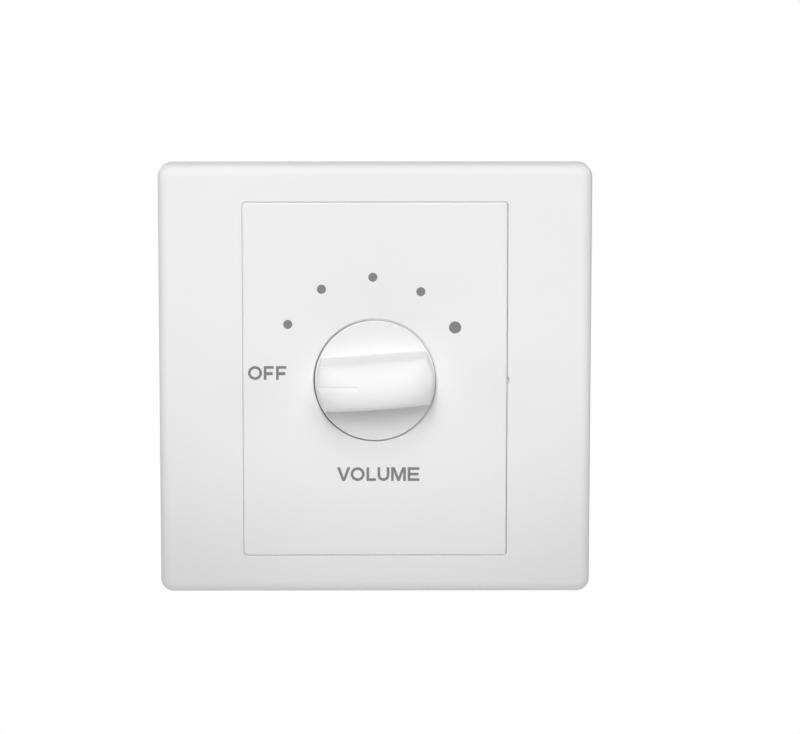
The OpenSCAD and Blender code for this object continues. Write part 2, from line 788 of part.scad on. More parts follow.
module wiper_contact() {
    wiper_front = rotor_rear;
    wiper_rear = rotor_rear - wiper_t;
    dimple_d = 1.4;
    arm_w = 2;
    color(brass) on_wall() rotate(first_contact) difference() {
        union() {
            rod(2 * common_r + arm_w, wiper_rear, wiper_front);
            translate([contact_r / 2, 0, 0]) block(contact_r, arm_w, wiper_rear, wiper_front);
            for (x = [common_r, contact_r])
                translate([x, 0, 0]) rod(dimple_d, wiper_rear - dimple_h, wiper_front);
        }
        rod(pivot_d + 2 * pin_fit, wiper_rear - over, wiper_front + over);
    }
}

module stop_ring() {
    color(steel) on_wall() {
        difference() {
            rod(ring_d, web_z - ring_t, web_z);
            rod(bushing_d + 2 * peg_fit, web_z - ring_t - over, web_z + over);
        }
        rotate(stop_at) translate([stop_mid_r, 0, 0])
            block(tab_t, stop_w, rotor_front + rotor_clear, web_z);
    }
}

module switch_base() {
    color(phenolic) on_wall() difference() {
        union() {
            rod(housing_d, base_rear, housing_rear);
            rod(2 * (cavity_r - spindle_fit), housing_rear - sink, spigot_top);
        }
        rod(pivot_d + 2 * spindle_fit, base_rear - over, spigot_top + over);
        at(switch_pin_places) rod(pin_d + 2 * pin_fit, base_rear - over, spigot_top + over);
        for (a = stake_angles) rotate(a) translate([stake_r, 0, 0])
            rod(stake_d + 2 * pin_fit, base_rear - over, spigot_top + over);
    }
}

module common_ring() {
    ring_half = 0.9;
    color(brass) on_wall() difference() {
        rod(2 * (common_r + ring_half), spigot_top, contact_top);
        rod(2 * (common_r - ring_half), spigot_top - over, contact_top + over);
        translate([0, -common_r, 0]) rod(pin_d + 2 * pin_fit, spigot_top - over, contact_top + over);
    }
}

module switch_pins() {
    head_d = 2;
    color(brass) on_wall() {
        at(switch_pin_places) rod(pin_d, board_rear - pin_tail, spigot_top);
        for (i = [0 : positions - 1]) translate(switch_pin_places[i])
            rod(head_d, spigot_top, contact_top);
        translate(switch_pin_places[positions]) rod(pin_d, spigot_top - sink, contact_top);
    }
}

module lock_washer() {
    teeth = 10;
    washer_border = 1;
    washer_d = nut_af + 2 * washer_border;
    tooth_h = 0.8;
    color(steel) on_wall() difference() {
        rod(washer_d, carrier_t, carrier_t + washer_t);
        rod(bushing_d + 2 * thread_fit, carrier_t - over, carrier_t + washer_t + over);
        for (i = [0 : teeth - 1]) rotate((i + 0.5) * 360 / teeth) translate([bushing_d / 2, 0, 0])
            block(2 * tooth_h, tooth_h, carrier_t - over, carrier_t + washer_t + over);
    }
}

module bushing_nut() {
    nut_rear = carrier_t + washer_t;
    color(steel) on_wall() hex_nut(nut_af, bushing_d + 2 * thread_fit, nut_rear, nut_rear + nut_t);
}

module circuit_board() {
    color(board_green) on_wall() difference() {
        translate([0, board_mid, 0])
            slab(board_rear, board_front) round_rect(board_w, board_h, board_corner_r);
        board_holes(post_places, board_screw_d);
        board_holes(foot_places, bracket_screw_d);
        board_holes(switch_pin_places, pin_d);
        board_holes(coil_pin_places, coil_pin_d);
        board_holes(clamp_tail_places, clamp_tail_d);
    }
}

module board_holes(places, d) {
    at(places) rod(d + hole_slack, board_rear - over, board_front + over);
}

module board_screws() {
    thread_d = board_screw_d - 2 * thread_fit;
    color(steel) on_wall() at(post_places) translate([0, 0, board_rear])
        screw(thread_d, board_screw_head_d, board_screw_head_h, board_t + board_screw_grip);
}

// Solder cones on the side of the board where each pin comes through
module solder_joints() {
    color(solder) on_wall() {
        translate([0, 0, board_rear]) mirror([0, 0, 1]) solder_cones(switch_pin_places, pin_d);
        translate([0, 0, board_front]) solder_cones(coil_pin_places, coil_pin_d);
        translate([0, 0, board_front]) solder_cones(clamp_tail_places, clamp_tail_d);
    }
}

module solder_cones(places, d) {
    at(places) difference() {
        cylinder(d1 = solder_d, d2 = d + hole_slack, h = solder_h);
        rod(d + 2 * pin_fit, -over, solder_h + over);
    }
}

// Stack of E laminations: a yoke above three legs that point down
module core_e_stack() {
    color(core_grey) on_wall() translate([0, core_y, core_z]) difference() {
        translate([0, yoke / 2, 0]) block(core_w, core_h - yoke, -stack_t / 2, stack_t / 2);
        for (sx = both) translate([sx * (core_leg + core_win_w) / 2, 0, 0])
            block(core_win_w, core_win_h, -stack_t, stack_t);
    }
}

module core_i_stack() {
    color(core_grey) on_wall() translate([0, core_y - core_h / 2 + yoke / 2, core_z])
        block(core_w, yoke, -stack_t / 2, stack_t / 2);
}

// Turns the coil's own frame, with z along the coil, into place round the core's middle leg
module on_coil() {
    translate([0, core_y, core_z]) rotate([90, 0, 0]) children();
}

module bobbin() {
    color(black_plastic) on_wall() difference() {
        union() {
            on_coil() {
                block(tube_w, tube_d, -coil_len / 2, coil_len / 2);
                for (s = both) translate([0, 0, s * (coil_len - flange_t) / 2])
                    block(flange_w, flange_d, -flange_t / 2, flange_t / 2);
            }
            for (s = both) translate([0, core_y + s * (coil_len / 2 + (ledge_len - flange_t) / 2), 0])
                block(flange_w, ledge_len + flange_t, board_rear - ledge_h, board_rear);
        }
        on_coil() block(tube_w - 2 * bobbin_wall, tube_d - 2 * bobbin_wall, -coil_len, coil_len);
        at(coil_pin_places)
            rod(coil_pin_d + 2 * pin_fit, board_rear - coil_pin_seat - pin_fit, board_rear + over);
    }
}

// Closed sleeve round the coil, from an inner to an outer step
module coil_sleeve(inner_w, inner_d, outer_w, outer_d, len) {
    on_coil() difference() {
        slab(-len / 2, len / 2) round_rect(outer_w, outer_d, winding_r);
        slab(-len, len) square([inner_w, inner_d], center = true);
    }
}

module winding() {
    color(copper) on_wall()
        coil_sleeve(tube_w, tube_d, flange_w - 2 * winding_inset, flange_d - 2 * winding_inset, winding_len);
}

module winding_tape() {
    color(tape_yellow) on_wall() on_coil() difference() {
        slab(-winding_len / 2, winding_len / 2)
            round_rect(flange_w - 2 * (winding_inset - tape_t), flange_d - 2 * (winding_inset - tape_t),
                winding_r + tape_t);
        slab(-winding_len, winding_len)
            round_rect(flange_w - 2 * winding_inset, flange_d - 2 * winding_inset, winding_r);
    }
}

module transformer_pins() {
    color(brass) on_wall() at(coil_pin_places)
        rod(coil_pin_d, board_rear - coil_pin_seat, board_front + pin_tail);
}

// Stamped bracket: a frame behind the core, two arms along its sides and two feet on the board
module core_bracket() {
    frame_h = core_h;
    opening_h = core_win_h + 2 * hole_slack;
    opening_w = flange_w + 4 * hole_slack;
    arm_x = (core_w + bracket_t) / 2;
    color(steel) on_wall() translate([0, core_y, 0]) difference() {
        union() {
            block(core_w + 2 * bracket_t, frame_h, core_rear - bracket_t, core_rear);
            for (sx = both) {
                translate([sx * arm_x, 0, 0]) block(bracket_t, bracket_w, core_rear - bracket_t, board_rear);
                translate([sx * (core_w / 2 + (bracket_t + foot_len) / 2), 0, 0])
                    block(bracket_t + foot_len, bracket_w, board_rear - bracket_t, board_rear);
            }
        }
        block(opening_w, opening_h, core_rear - bracket_t - over, core_rear + over);
        for (sx = both) translate([sx * foot_x, 0, 0])
            rod(bracket_screw_d + hole_slack, board_rear - bracket_t - over, board_rear + over);
    }
}

module bracket_screws() {
    len = bracket_t + board_t + bracket_nut_t + thread_show;
    color(steel) on_wall() at(foot_places) translate([0, 0, board_rear - bracket_t])
        screw(bracket_screw_d, bracket_screw_head_d, bracket_screw_head_h, len);
}

module bracket_nuts() {
    color(steel) on_wall() at(foot_places)
        hex_nut(bracket_nut_af, bracket_screw_d + 2 * thread_fit, board_front, board_front + bracket_nut_t);
}

module terminal_block() {
    block_w = poles * pole_pitch;
    entry_z = board_rear - entry_rise;
    room_w = clamp_w + 2 * clamp_fit;
    room_len = clamp_len + 2 * clamp_fit;
    head_seat = clamp_bolt_rear + clamp_screw_head_h;
    color(block_green) on_wall() difference() {
        translate([0, (block_front + block_back) / 2, 0])
            block(block_w, block_len, board_rear - block_h, board_rear);
        for (x = pole_xs) {
            translate([x, block_front + entry_depth / 2, 0])
                block(entry_w, entry_depth + over, entry_z - entry_h, entry_z);
            translate([x, clamp_y, 0]) {
                block(room_w, room_len, clamp_rear - clamp_fit, clamp_rear + clamp_h + clamp_fit);
                rod(clamp_tail_d + 2 * pin_fit, clamp_rear, board_rear + over);
                rod(clamp_screw_d + hole_slack, clamp_bolt_rear - over, clamp_rear);
                rod(clamp_screw_head_d + hole_slack, clamp_bolt_rear - over, head_seat);
            }
        }
    }
}

// Folded wire clamps, each with the tail that is soldered into the board
module wire_clamps() {
    clamp_front = clamp_rear + clamp_h;
    color(brass) on_wall() at(clamp_tail_places) {
        difference() {
            block(clamp_w, clamp_len, clamp_rear, clamp_front);
            block(clamp_w - 2 * clamp_t, clamp_len + over, clamp_rear + clamp_t, clamp_front - clamp_t);
            rod(clamp_screw_d + 2 * thread_fit, clamp_rear - over, clamp_rear + clamp_t + over);
        }
        rod(clamp_tail_d, clamp_front - sink, board_front + pin_tail);
    }
}

module clamp_screws() {
    head_seat = clamp_bolt_rear + clamp_screw_head_h;
    len = clamp_rear + 2 * clamp_t - head_seat;
    color(steel) on_wall() at(clamp_tail_places) translate([0, 0, head_seat])
        screw(clamp_screw_d, clamp_screw_head_d, clamp_screw_head_h, len);
}

cover_frame();
insert_panel();
knob();
knob_clip();
carrier();
switch_housing();
switch_spindle();
detent_balls();
detent_spring();
wiper_contact();
stop_ring();
switch_base();
common_ring();
switch_pins();
lock_washer();
bushing_nut();
circuit_board();
board_screws();
solder_joints();
core_e_stack();
core_i_stack();
bobbin();
winding();
winding_tape();
transformer_pins();
core_bracket();
bracket_screws();
bracket_nuts();
terminal_block();
wire_clamps();
clamp_screws();
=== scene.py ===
import math
import random

import bmesh
import bpy
from mathutils import Matrix, Vector


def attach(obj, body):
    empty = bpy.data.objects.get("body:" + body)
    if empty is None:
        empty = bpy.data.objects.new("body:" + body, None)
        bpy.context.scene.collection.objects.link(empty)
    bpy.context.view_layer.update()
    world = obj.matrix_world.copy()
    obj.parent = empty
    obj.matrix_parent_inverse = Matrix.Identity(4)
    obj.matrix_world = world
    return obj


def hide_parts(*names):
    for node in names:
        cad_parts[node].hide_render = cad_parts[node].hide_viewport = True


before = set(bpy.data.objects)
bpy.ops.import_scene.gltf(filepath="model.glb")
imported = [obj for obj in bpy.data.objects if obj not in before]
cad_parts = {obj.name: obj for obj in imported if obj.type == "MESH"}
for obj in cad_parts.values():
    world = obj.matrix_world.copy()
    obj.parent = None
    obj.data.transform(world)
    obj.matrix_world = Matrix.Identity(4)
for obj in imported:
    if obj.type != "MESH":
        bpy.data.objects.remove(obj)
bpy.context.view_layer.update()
print("frame loaded:", len(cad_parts), "nodes")

# pieces are drawn in millimetres as the wall shows them: x right, y up, z out of the wall
wallTurn = Matrix.Scale(0.001, 4) @ Matrix.Rotation(math.radians(90), 4, "X")
touching = 0.0005  # points nearer than this become one
fourWays = [(-1, -1), (-1, 1), (1, -1), (1, 1)]
dice = random.Random(11)


class Wire:  # one output of a shader graph; the operators add Math nodes
    def __init__(self, graph, out):
        self.graph, self.out = graph, out

    def calc(self, operation, *values):
        return self.graph.node("ShaderNodeMath", {"operation": operation}, dict(enumerate(values)))

    def __add__(self, other):
        return self.calc("ADD", self, other)

    def __radd__(self, other):
        return self.calc("ADD", other, self)

    def __sub__(self, other):
        return self.calc("SUBTRACT", self, other)

    def __rsub__(self, other):
        return self.calc("SUBTRACT", other, self)

    def __mul__(self, other):
        return self.calc("MULTIPLY", self, other)

    def __rmul__(self, other):
        return self.calc("MULTIPLY", other, self)

    def __abs__(self):
        return self.calc("ABSOLUTE", self)

    def sine(self):
        return self.calc("SINE", self)


class Graph:  # node tree of one material or of the world
    def __init__(self, owner):
        owner.use_nodes = True
        self.tree = owner.node_tree
        self.tree.nodes.clear()

    def node(self, kind, settings, inputs, out=0):
        made = self.tree.nodes.new(kind)
        for key, value in settings.items():
            setattr(made, key, value)
        for key, value in inputs.items():
            if isinstance(value, Wire):
                self.tree.links.new(value.out, made.inputs[key])
            else:
                made.inputs[key].default_value = value
        return Wire(self, made.outputs[out]) if made.outputs else None

    def place(self):
        return self.node("ShaderNodeTexCoord", {}, {}, "Object")

    def axis(self, place, number):
        return self.node("ShaderNodeSeparateXYZ", {}, {0: place}, number)

    def noise(self, place, scale, detail=3.0, rough=0.55):
        inputs = {"Vector": place, "Scale": scale, "Detail": detail, "Roughness": rough}
        return self.node("ShaderNodeTexNoise", {}, inputs, "Fac")

    def streaks(self, place, scales, detail=3.0, rough=0.55):  # noise with its own scale along each axis
        drawn = self.node("ShaderNodeMapping", {}, {"Vector": place, "Scale": scales})
        return self.noise(drawn, 1.0, detail, rough)

    def band(self, value, low, high):  # 0 below low, 1 above high
        settings = {"interpolation_type": "SMOOTHSTEP"}
        return self.node("ShaderNodeMapRange", settings, {0: value, 1: low, 2: high})

    def mix(self, factor, first, second):
        return self.node("ShaderNodeMix", {"data_type": "RGBA"}, {0: factor, 6: first, 7: second}, 2)

    def tone(self, value, look, low=0.3, high=0.7):  # from the look's dark colour to its light one
        return self.mix(self.band(value, low, high), look["dark"], look["light"])

    def bump(self, height, distance):
        return self.node("ShaderNodeBump", {}, {"Height": height, "Distance": distance}, "Normal")


def makeFinish(name, paint, look):
    material = bpy.data.materials.new(name)
    graph = Graph(material)
    shader = graph.node("ShaderNodeBsdfPrincipled", {}, paint(graph, graph.place(), look))
    graph.node("ShaderNodeOutputMaterial", {}, {"Surface": shader})
    return material


def grey(level, tint=(1, 1, 1)):
    return (level * tint[0], level * tint[1], level * tint[2], 1)


# moulded plastics: faint cloudiness, a fine spark-eroded grain, gloss that varies a little
def moulded(graph, place, look):
    cloud = graph.noise(place, scale=35.0, detail=4.0)
    grain = graph.noise(place, scale=look["grain"], detail=2.0, rough=0.6)
    rub = graph.noise(place, scale=260.0, detail=5.0, rough=0.65)
    return {
        "Base Color": graph.tone(cloud * 0.7 + grain * 0.3, look, low=0.25, high=0.75),
        "Roughness": look["matt"] - 0.05 + rub * 0.1,
        "Specular IOR Level": look.get("specular", 0.5),
        "Normal": graph.bump(grain, look["depth"]),
    }


# plated and drawn metals: streaks along one axis over a soft mottle
def metal(graph, place, look):
    streak = graph.streaks(place, look["streaks"], detail=4.0, rough=0.6)
    mottle = graph.noise(place, scale=420.0, detail=4.0, rough=0.6)
    return {
        "Base Color": graph.tone(mottle * 0.6 + streak * 0.4, look),
        "Roughness": look["matt"] - 0.08 + streak * 0.1 + mottle * 0.08,
        "Metallic": 1.0,
        "Normal": graph.bump(streak, look["depth"]),
    }


# thin coats, such as ink, enamel and tin: one mottle turns the tone, the gloss and the skin together
def coated(graph, place, look):
    mottle = graph.noise(place, scale=look["mottle"], detail=look["detail"], rough=look["rough"])
    metallic = look.get("metallic", 0.0)
    if "metalSpan" in look:
        metallic = metallic + mottle * look["metalSpan"]
    return {
        "Base Color": graph.tone(mottle, look, *look["span"]),
        "Roughness": look["matt"] + mottle * look["mattSpan"],
        "Metallic": metallic,
        "Normal": graph.bump(mottle, look["depth"]),
    }


def boardPaint(graph, place, look):  # green solder mask over a glass weave, bare at the board's edge
    x, y, z = [graph.axis(place, number) for number in range(3)]
    weave = (x * look["threads"]).sine() * (z * look["threads"]).sine()
    cloud = graph.noise(place, scale=90.0, detail=4.0)
    masked = graph.band(abs(y - look["middle"]), *look["maskFrom"])  # mask lies on the two faces only
    mask = graph.tone(cloud + weave * 0.06, look, high=0.75)
    core = graph.mix(graph.streaks(place, look["fibres"]), look["coreDark"], look["coreLight"])
    return {
        "Base Color": graph.mix(masked, core, mask),
        "Roughness": look["matt"] - masked * 0.34 + cloud * 0.1,
        "Normal": graph.bump(weave * 0.5 + cloud, look["depth"]),
    }


def phenolicPaint(graph, place, look):  # pressed paper and resin
    fibre = graph.streaks(place, look["fibres"], detail=5.0, rough=0.7)
    fleck = graph.noise(place, scale=1500.0, detail=3.0, rough=0.7)
    return {
        "Base Color": graph.tone(fibre * 0.6 + fleck * 0.4, look),
        "Roughness": look["matt"] + fleck * 0.18,
        "Normal": graph.bump(fibre, look["depth"]),
    }


def steelSheetPaint(graph, place, look):  # scale-blue laminations with a few rust specks
    streak = graph.streaks(place, look["streaks"], detail=4.0, rough=0.6)
    cloud = graph.noise(place, scale=130.0, detail=5.0, rough=0.6)
    rust = graph.band(graph.noise(place, scale=520.0, detail=6.0, rough=0.7), low=0.62, high=0.7)
    return {
        "Base Color": graph.mix(rust * 0.55, graph.tone(cloud * 0.5 + streak * 0.5, look), look["rust"]),
        "Roughness": look["matt"] + cloud * 0.14 + rust * 0.3,
        "Metallic": 0.85 - rust * 0.6,
        "Normal": graph.bump(streak + rust, look["depth"]),
    }


def tapePaint(graph, place, look):  # thin polyester film, with the turns below showing through
    turns = (graph.axis(place, 2) * look["turns"]).sine()
    crease = graph.streaks(place, look["creases"], detail=5.0, rough=0.65)
    return {
        "Base Color": graph.tone(crease + turns * 0.1, look, high=0.75),
        "Roughness": look["matt"] + crease * 0.16,
        "Normal": graph.bump(crease * 3.0 + turns * 0.15, look["depth"]),
    }


# each finish: how it is painted, and its values; scales are per metre, depths in metres
finishLooks = {
    "shellWhite": (moulded, {"light": grey(0.86), "dark": grey(0.84), "matt": 0.58, "grain": 3600.0,
                             "depth": 0.000008, "specular": 0.35}),
    "knobWhite": (moulded, {"light": grey(0.82), "dark": grey(0.8), "matt": 0.54, "grain": 5200.0,
                            "depth": 0.000005, "specular": 0.85}),
    "carrierWhite": (moulded, {"light": grey(0.72, (1, 0.995, 0.975)), "dark": grey(0.67, (1, 0.99, 0.965)),
                               "matt": 0.48, "grain": 2600.0, "depth": 0.00002}),
    "housingBlack": (moulded, {"light": grey(0.026), "dark": grey(0.015), "matt": 0.42, "grain": 3000.0,
                               "depth": 0.000018}),
    "blockGreen": (moulded, {"light": (0.03, 0.22, 0.085, 1), "dark": (0.022, 0.17, 0.064, 1), "matt": 0.4,
                             "grain": 2800.0, "depth": 0.000015}),
    "boardInk": (moulded, {"light": grey(0.78, (1, 1, 0.95)), "dark": grey(0.66, (1, 1, 0.93)), "matt": 0.5,
                           "grain": 2400.0, "depth": 0.000006}),
    "zincSteel": (metal, {"light": grey(0.66, (0.98, 1, 1.03)), "dark": grey(0.5, (0.98, 1, 1.04)),
                          "matt": 0.34, "streaks": (2200.0, 240.0, 240.0), "depth": 0.000012}),
    "screwSteel": (metal, {"light": grey(0.62, (1, 1, 1.01)), "dark": grey(0.42), "matt": 0.3,
                           "streaks": (900.0, 900.0, 900.0), "depth": 0.00001}),
    "springSteel": (metal, {"light": grey(0.52), "dark": grey(0.38), "matt": 0.3,
                            "streaks": (600.0, 2400.0, 600.0), "depth": 0.000008}),
    "bracketSteel": (metal, {"light": grey(0.6, (0.98, 1, 1.02)), "dark": grey(0.44, (0.98, 1, 1.03)),
                             "matt": 0.4, "streaks": (240.0, 240.0, 2600.0), "depth": 0.00002}),
    "contactBrass": (metal, {"light": (0.78, 0.57, 0.24, 1), "dark": (0.62, 0.42, 0.16, 1), "matt": 0.32,
                             "streaks": (1800.0, 300.0, 300.0), "depth": 0.00001}),
    "tinnedPin": (metal, {"light": grey(0.74), "dark": grey(0.56), "matt": 0.28,
                          "streaks": (400.0, 2600.0, 400.0), "depth": 0.000008}),
    # solder mask over copper: a paler green, smoother than over the bare board
    "maskedCopper": (coated, {"light": (0.06, 0.26, 0.11, 1), "dark": (0.04, 0.2, 0.085, 1),
                              "span": (0.3, 0.7), "mottle": 160.0, "detail": 4.0, "rough": 0.55,
                              "matt": 0.22, "mattSpan": 0.12, "depth": 0.00001}),
    # enamelled copper
    "copperWire": (coated, {"light": (0.6, 0.24, 0.09, 1), "dark": (0.36, 0.12, 0.045, 1), "span": (0.3, 0.7),
                            "mottle": 600.0, "detail": 4.0, "rough": 0.6, "matt": 0.2, "mattSpan": 0.18,
                            "metallic": 0.75, "metalSpan": 0.2, "depth": 0.00001}),
    # bright tin with a frosted skin
    "solderTin": (coated, {"light": (0.78, 0.79, 0.8, 1), "dark": (0.5, 0.51, 0.53, 1), "span": (0.3, 0.7),
                           "mottle": 2600.0, "detail": 4.0, "rough": 0.65, "matt": 0.16, "mattSpan": 0.24,
                           "metallic": 1.0, "depth": 0.00002}),
    # pad-printed ink, a little uneven
    "legendInk": (coated, {"light": grey(0.215), "dark": grey(0.175), "span": (0.2, 0.8),
                           "mottle": 1400.0, "detail": 3.0, "rough": 0.6, "matt": 0.5, "mattSpan": 0.15,
                           "depth": 0.000006}),
    "boardMask": (boardPaint, {"light": (0.022, 0.125, 0.055, 1), "dark": (0.012, 0.085, 0.035, 1),
                               "coreLight": (0.42, 0.38, 0.2, 1), "coreDark": (0.30, 0.27, 0.14, 1),
                               "matt": 0.62, "fibres": (900.0, 9000.0, 900.0), "threads": 7500.0,
                               "depth": 0.000008, "middle": 0.0163, "maskFrom": (0.00072, 0.00079)}),
    "phenolicBrown": (phenolicPaint, {"light": (0.2, 0.105, 0.048, 1), "dark": (0.09, 0.045, 0.02, 1),
                                      "matt": 0.42, "fibres": (700.0, 5200.0, 1300.0), "depth": 0.00002}),
    "coreSheet": (steelSheetPaint, {"light": (0.2, 0.21, 0.225, 1), "dark": (0.075, 0.08, 0.09, 1),
                                    "matt": 0.38, "rust": (0.13, 0.062, 0.03, 1),
                                    "streaks": (180.0, 2600.0, 180.0), "depth": 0.00002}),
    "tapeFilm": (tapePaint, {"light": (0.76, 0.55, 0.075, 1), "dark": (0.56, 0.36, 0.035, 1), "matt": 0.2,
                             "turns": 16500.0, "creases": (120.0, 120.0, 420.0), "depth": 0.00003}),
}
finishes = {name: makeFinish(name, paint, look) for name, (paint, look) in finishLooks.items()}
print("finishes made")


# one ring of a moulding: a circle whose four quarters are moved apart
def ring(width, height, radius, z, quarter):
    made = []
    for i in range(4 * quarter):
        turn = (i + 0.5) * math.pi / 2 / quarter
        x, y = radius * math.cos(turn), radius * math.sin(turn)
        made.append((x + math.copysign(width / 2 - radius, x), y + math.copysign(height / 2 - radius, y), z))
    return made


def circle(across, z):  # section of a round moulding
    return (across, across, across / 2, z)


# sections of a rounded edge, from the wall up to the face; side -1 for a hole
def rounded(width, height, radius, z, edge, steps, side=1):
    made = []
    for i in range(steps + 1):
        turn = math.pi / 2 * i / steps
        step = side * edge * (1 - math.cos(turn))
        made.append((width - 2 * step, height - 2 * step, radius - step, z - edge + edge * math.sin(turn)))
    return made


def arc(x, y, rx, ry, first, last, steps):
    turns = [math.radians(first + (last - first) * i / steps) for i in range(steps + 1)]
    return [(x + rx * math.cos(t), y + ry * math.sin(t)) for t in turns]


def loop(x, y, rx, ry, sides):  # a whole round outline
    return arc(x, y, rx, ry, 0, 360, sides)[:-1]


def freshVerts(drawn):
    return [g for g in drawn["geom"] if isinstance(g, bmesh.types.BMVert)]


def sweep(bm, rows):  # a closed outline extruded from row to row, each point keeping its number
    number = bm.verts.layers.int.get("number") or bm.verts.layers.int.new("number")
    verts = [bm.verts.new(point) for point in rows[0]]
    for i, vert in enumerate(verts):
        vert[number] = i
    edges = [bm.edges.new((verts[i - 1], verts[i])) for i in range(len(verts))]
    for row in rows[1:]:
        fresh = set(freshVerts(bmesh.ops.extrude_edge_only(bm, edges=edges)))
        for vert in fresh:
            vert.co = row[vert[number]]
        edges = list({e for v in fresh for e in v.link_edges if e.other_vert(v) in fresh})
    return edges


def skin(bm, sections, quarter):  # closed moulding: the last section meets the first
    sweep(bm, [ring(*section, quarter) for section in [*sections, sections[0]]])


def pull(bm, points, way):  # flat outline drawn out into a solid
    face = bm.faces.new([bm.verts.new(point) for point in points])
    drawn = bmesh.ops.extrude_face_region(bm, geom=[face], use_keep_orig=True)
    bmesh.ops.translate(bm, verts=freshVerts(drawn), vec=way)


def thicken(bm, outline, z, film):
    pull(bm, [(x, y, z) for x, y in outline], (0, 0, film))


def ease(bm, edges, offset, clamp=False):
    bmesh.ops.bevel(bm, geom=edges, offset=offset, offset_type="OFFSET", segments=2, profile=0.5,
                    affect="EDGES", material=-1, clamp_overlap=clamp)


def box(bm, size, centre, edge=0.0):
    place = Matrix.Translation(centre) @ Matrix.Diagonal((*size, 1))
    made = bmesh.ops.create_cube(bm, size=1.0, matrix=place)
    if edge:
        ease(bm, list({e for v in made["verts"] for e in v.link_edges}), edge)


def settle(bm):  # doubles merged, faces turned outwards
    bmesh.ops.remove_doubles(bm, verts=bm.verts, dist=touching)
    bmesh.ops.recalc_face_normals(bm, faces=bm.faces)


def putInScene(name, bm):
    mesh = bpy.data.meshes.new(name)
    bm.to_mesh(mesh)
    bm.free()
    made = bpy.data.objects.new(name, mesh)
    bpy.context.scene.collection.objects.link(made)
    return made


def addPiece(name, bm, finish, body, slot, *nodes, sharp=30):
    settle(bm)
    bm.transform(wallTurn)
    piece = putInScene(name, bm)
    piece.data.materials.append(finishes[finish])
    piece.data.shade_smooth()
    piece.data.set_sharp_from_angle(angle=math.radians(sharp))
    even = piece.modifiers.new("evenShading", "WEIGHTED_NORMAL")  # keeps flats flat beside rounded edges
    even.keep_sharp = True
    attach(piece, body)
    if nodes:
        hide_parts(*nodes)


def cutAway(bm, cutter):  # boolean cut of one bmesh by another
    pair = []
    for source in (bm, cutter):
        settle(source)
        pair.append(putInScene("cut", source))
    cut = pair[0].modifiers.new("cut", "BOOLEAN")
    cut.operation = "DIFFERENCE"
    cut.solver = "EXACT"
    cut.object = pair[1]
    result = bmesh.new()
    result.from_object(pair[0], bpy.context.evaluated_depsgraph_get())
    for spent in pair:
        mesh = spent.data
        bpy.data.objects.remove(spent)
        bpy.data.meshes.remove(mesh)
    return result


# cover frame: a shallow tray with a window, four push-fit legs and a pry notch
coverFrame = {
    "side": 86.0, "rim": 0.3, "front": 8.0, "corner": 2.6, "edge": 2.2, "edgeSteps": 10, "quarter": 8,
    "frontWall": 2.4, "sideWall": 1.8, "pocketCorner": 1.0,
    "windowWide": 52.6, "windowTall": 71.0, "windowCorner": 0.8, "windowEdge": 0.3, "windowSteps": 4,
    "legWide": 8.0, "legThick": 1.6, "legX": 38.34, "legY": 24.0, "legSink": 0.4, "legEdge": 0.25,
    "notchTall": 1.8, "notchDeep": 0.4, "notchCut": 1.2, "notchSides": 64,
}


def makeCoverFrame(c):
    side, front, deep = c["side"], c["front"], c["notchDeep"]
    under, pocket = front - c["frontWall"], side - 2 * c["sideWall"]
    window = (c["windowWide"], c["windowTall"], c["windowCorner"])
    bm = bmesh.new()
    skin(bm, [(side, side, c["corner"], c["rim"]),
              *rounded(side, side, c["corner"], front, c["edge"], c["edgeSteps"]),
              *reversed(rounded(*window, front, c["windowEdge"], c["windowSteps"], -1)),
              (*window, under),
              (pocket, pocket, c["pocketCorner"], under),
              (pocket, pocket, c["pocketCorner"], c["rim"])], c["quarter"])
    notch = bmesh.new()
    scoop = ((c["notchTall"] / 2) ** 2 + deep ** 2) / (2 * deep)  # radius of the scalloped notch
    middle = Matrix.Translation((c["windowWide"] / 2 + deep - scoop, 0, front))
    bmesh.ops.create_cone(notch, cap_ends=True, segments=c["notchSides"], radius1=scoop, radius2=scoop,
                          depth=2 * c["notchCut"], matrix=middle)
    bm = cutAway(bm, notch)
    tall = under + c["legSink"] - c["rim"]
    for sx, sy in fourWays:
        foot = (sx * c["legX"], sy * c["legY"], c["rim"] + tall / 2)
        box(bm, (c["legThick"], c["legWide"], tall), foot, c["legEdge"])
    addPiece("coverShell", bm, "shellWhite", "cover", "white_abs", "cover_frame", sharp=38)


makeCoverFrame(coverFrame)
print("cover frame made")

# insert panel: front wall with the knob hole, skirt behind its edge, collar and four snap hooks;
# the two shifts are for the knob and the panel, which don't sit quite in the middle of their openings
insertPanel = {
    "wide": 52.2, "tall": 70.6, "corner": 0.6, "edge": 0.25, "edgeSteps": 4, "quarter": 24,
    "front": 8.0, "wall": 2.0, "skirt": 1.4, "foot": 2.0, "innerCorner": 0.2,
    "lip": 0.15, "lipFront": 7.7, "lipRear": 7.2, "lipSlope": 0.05,
    "hole": 24.7, "holeEdge": 0.14, "holeLip": 0.18, "collarWall": 1.2, "collarDepth": 2.0,
    "lipShift": (-0.06, -0.085, 0), "rightShift": (-0.05, 0, 0), "rightFrom": 0.01,
    "hookWide": 7.0, "hookSpan": 26.0, "hookRoot": 2.4, "hookCatch": 0.95, "hookTip": 0.1, "barb": 0.7,
}


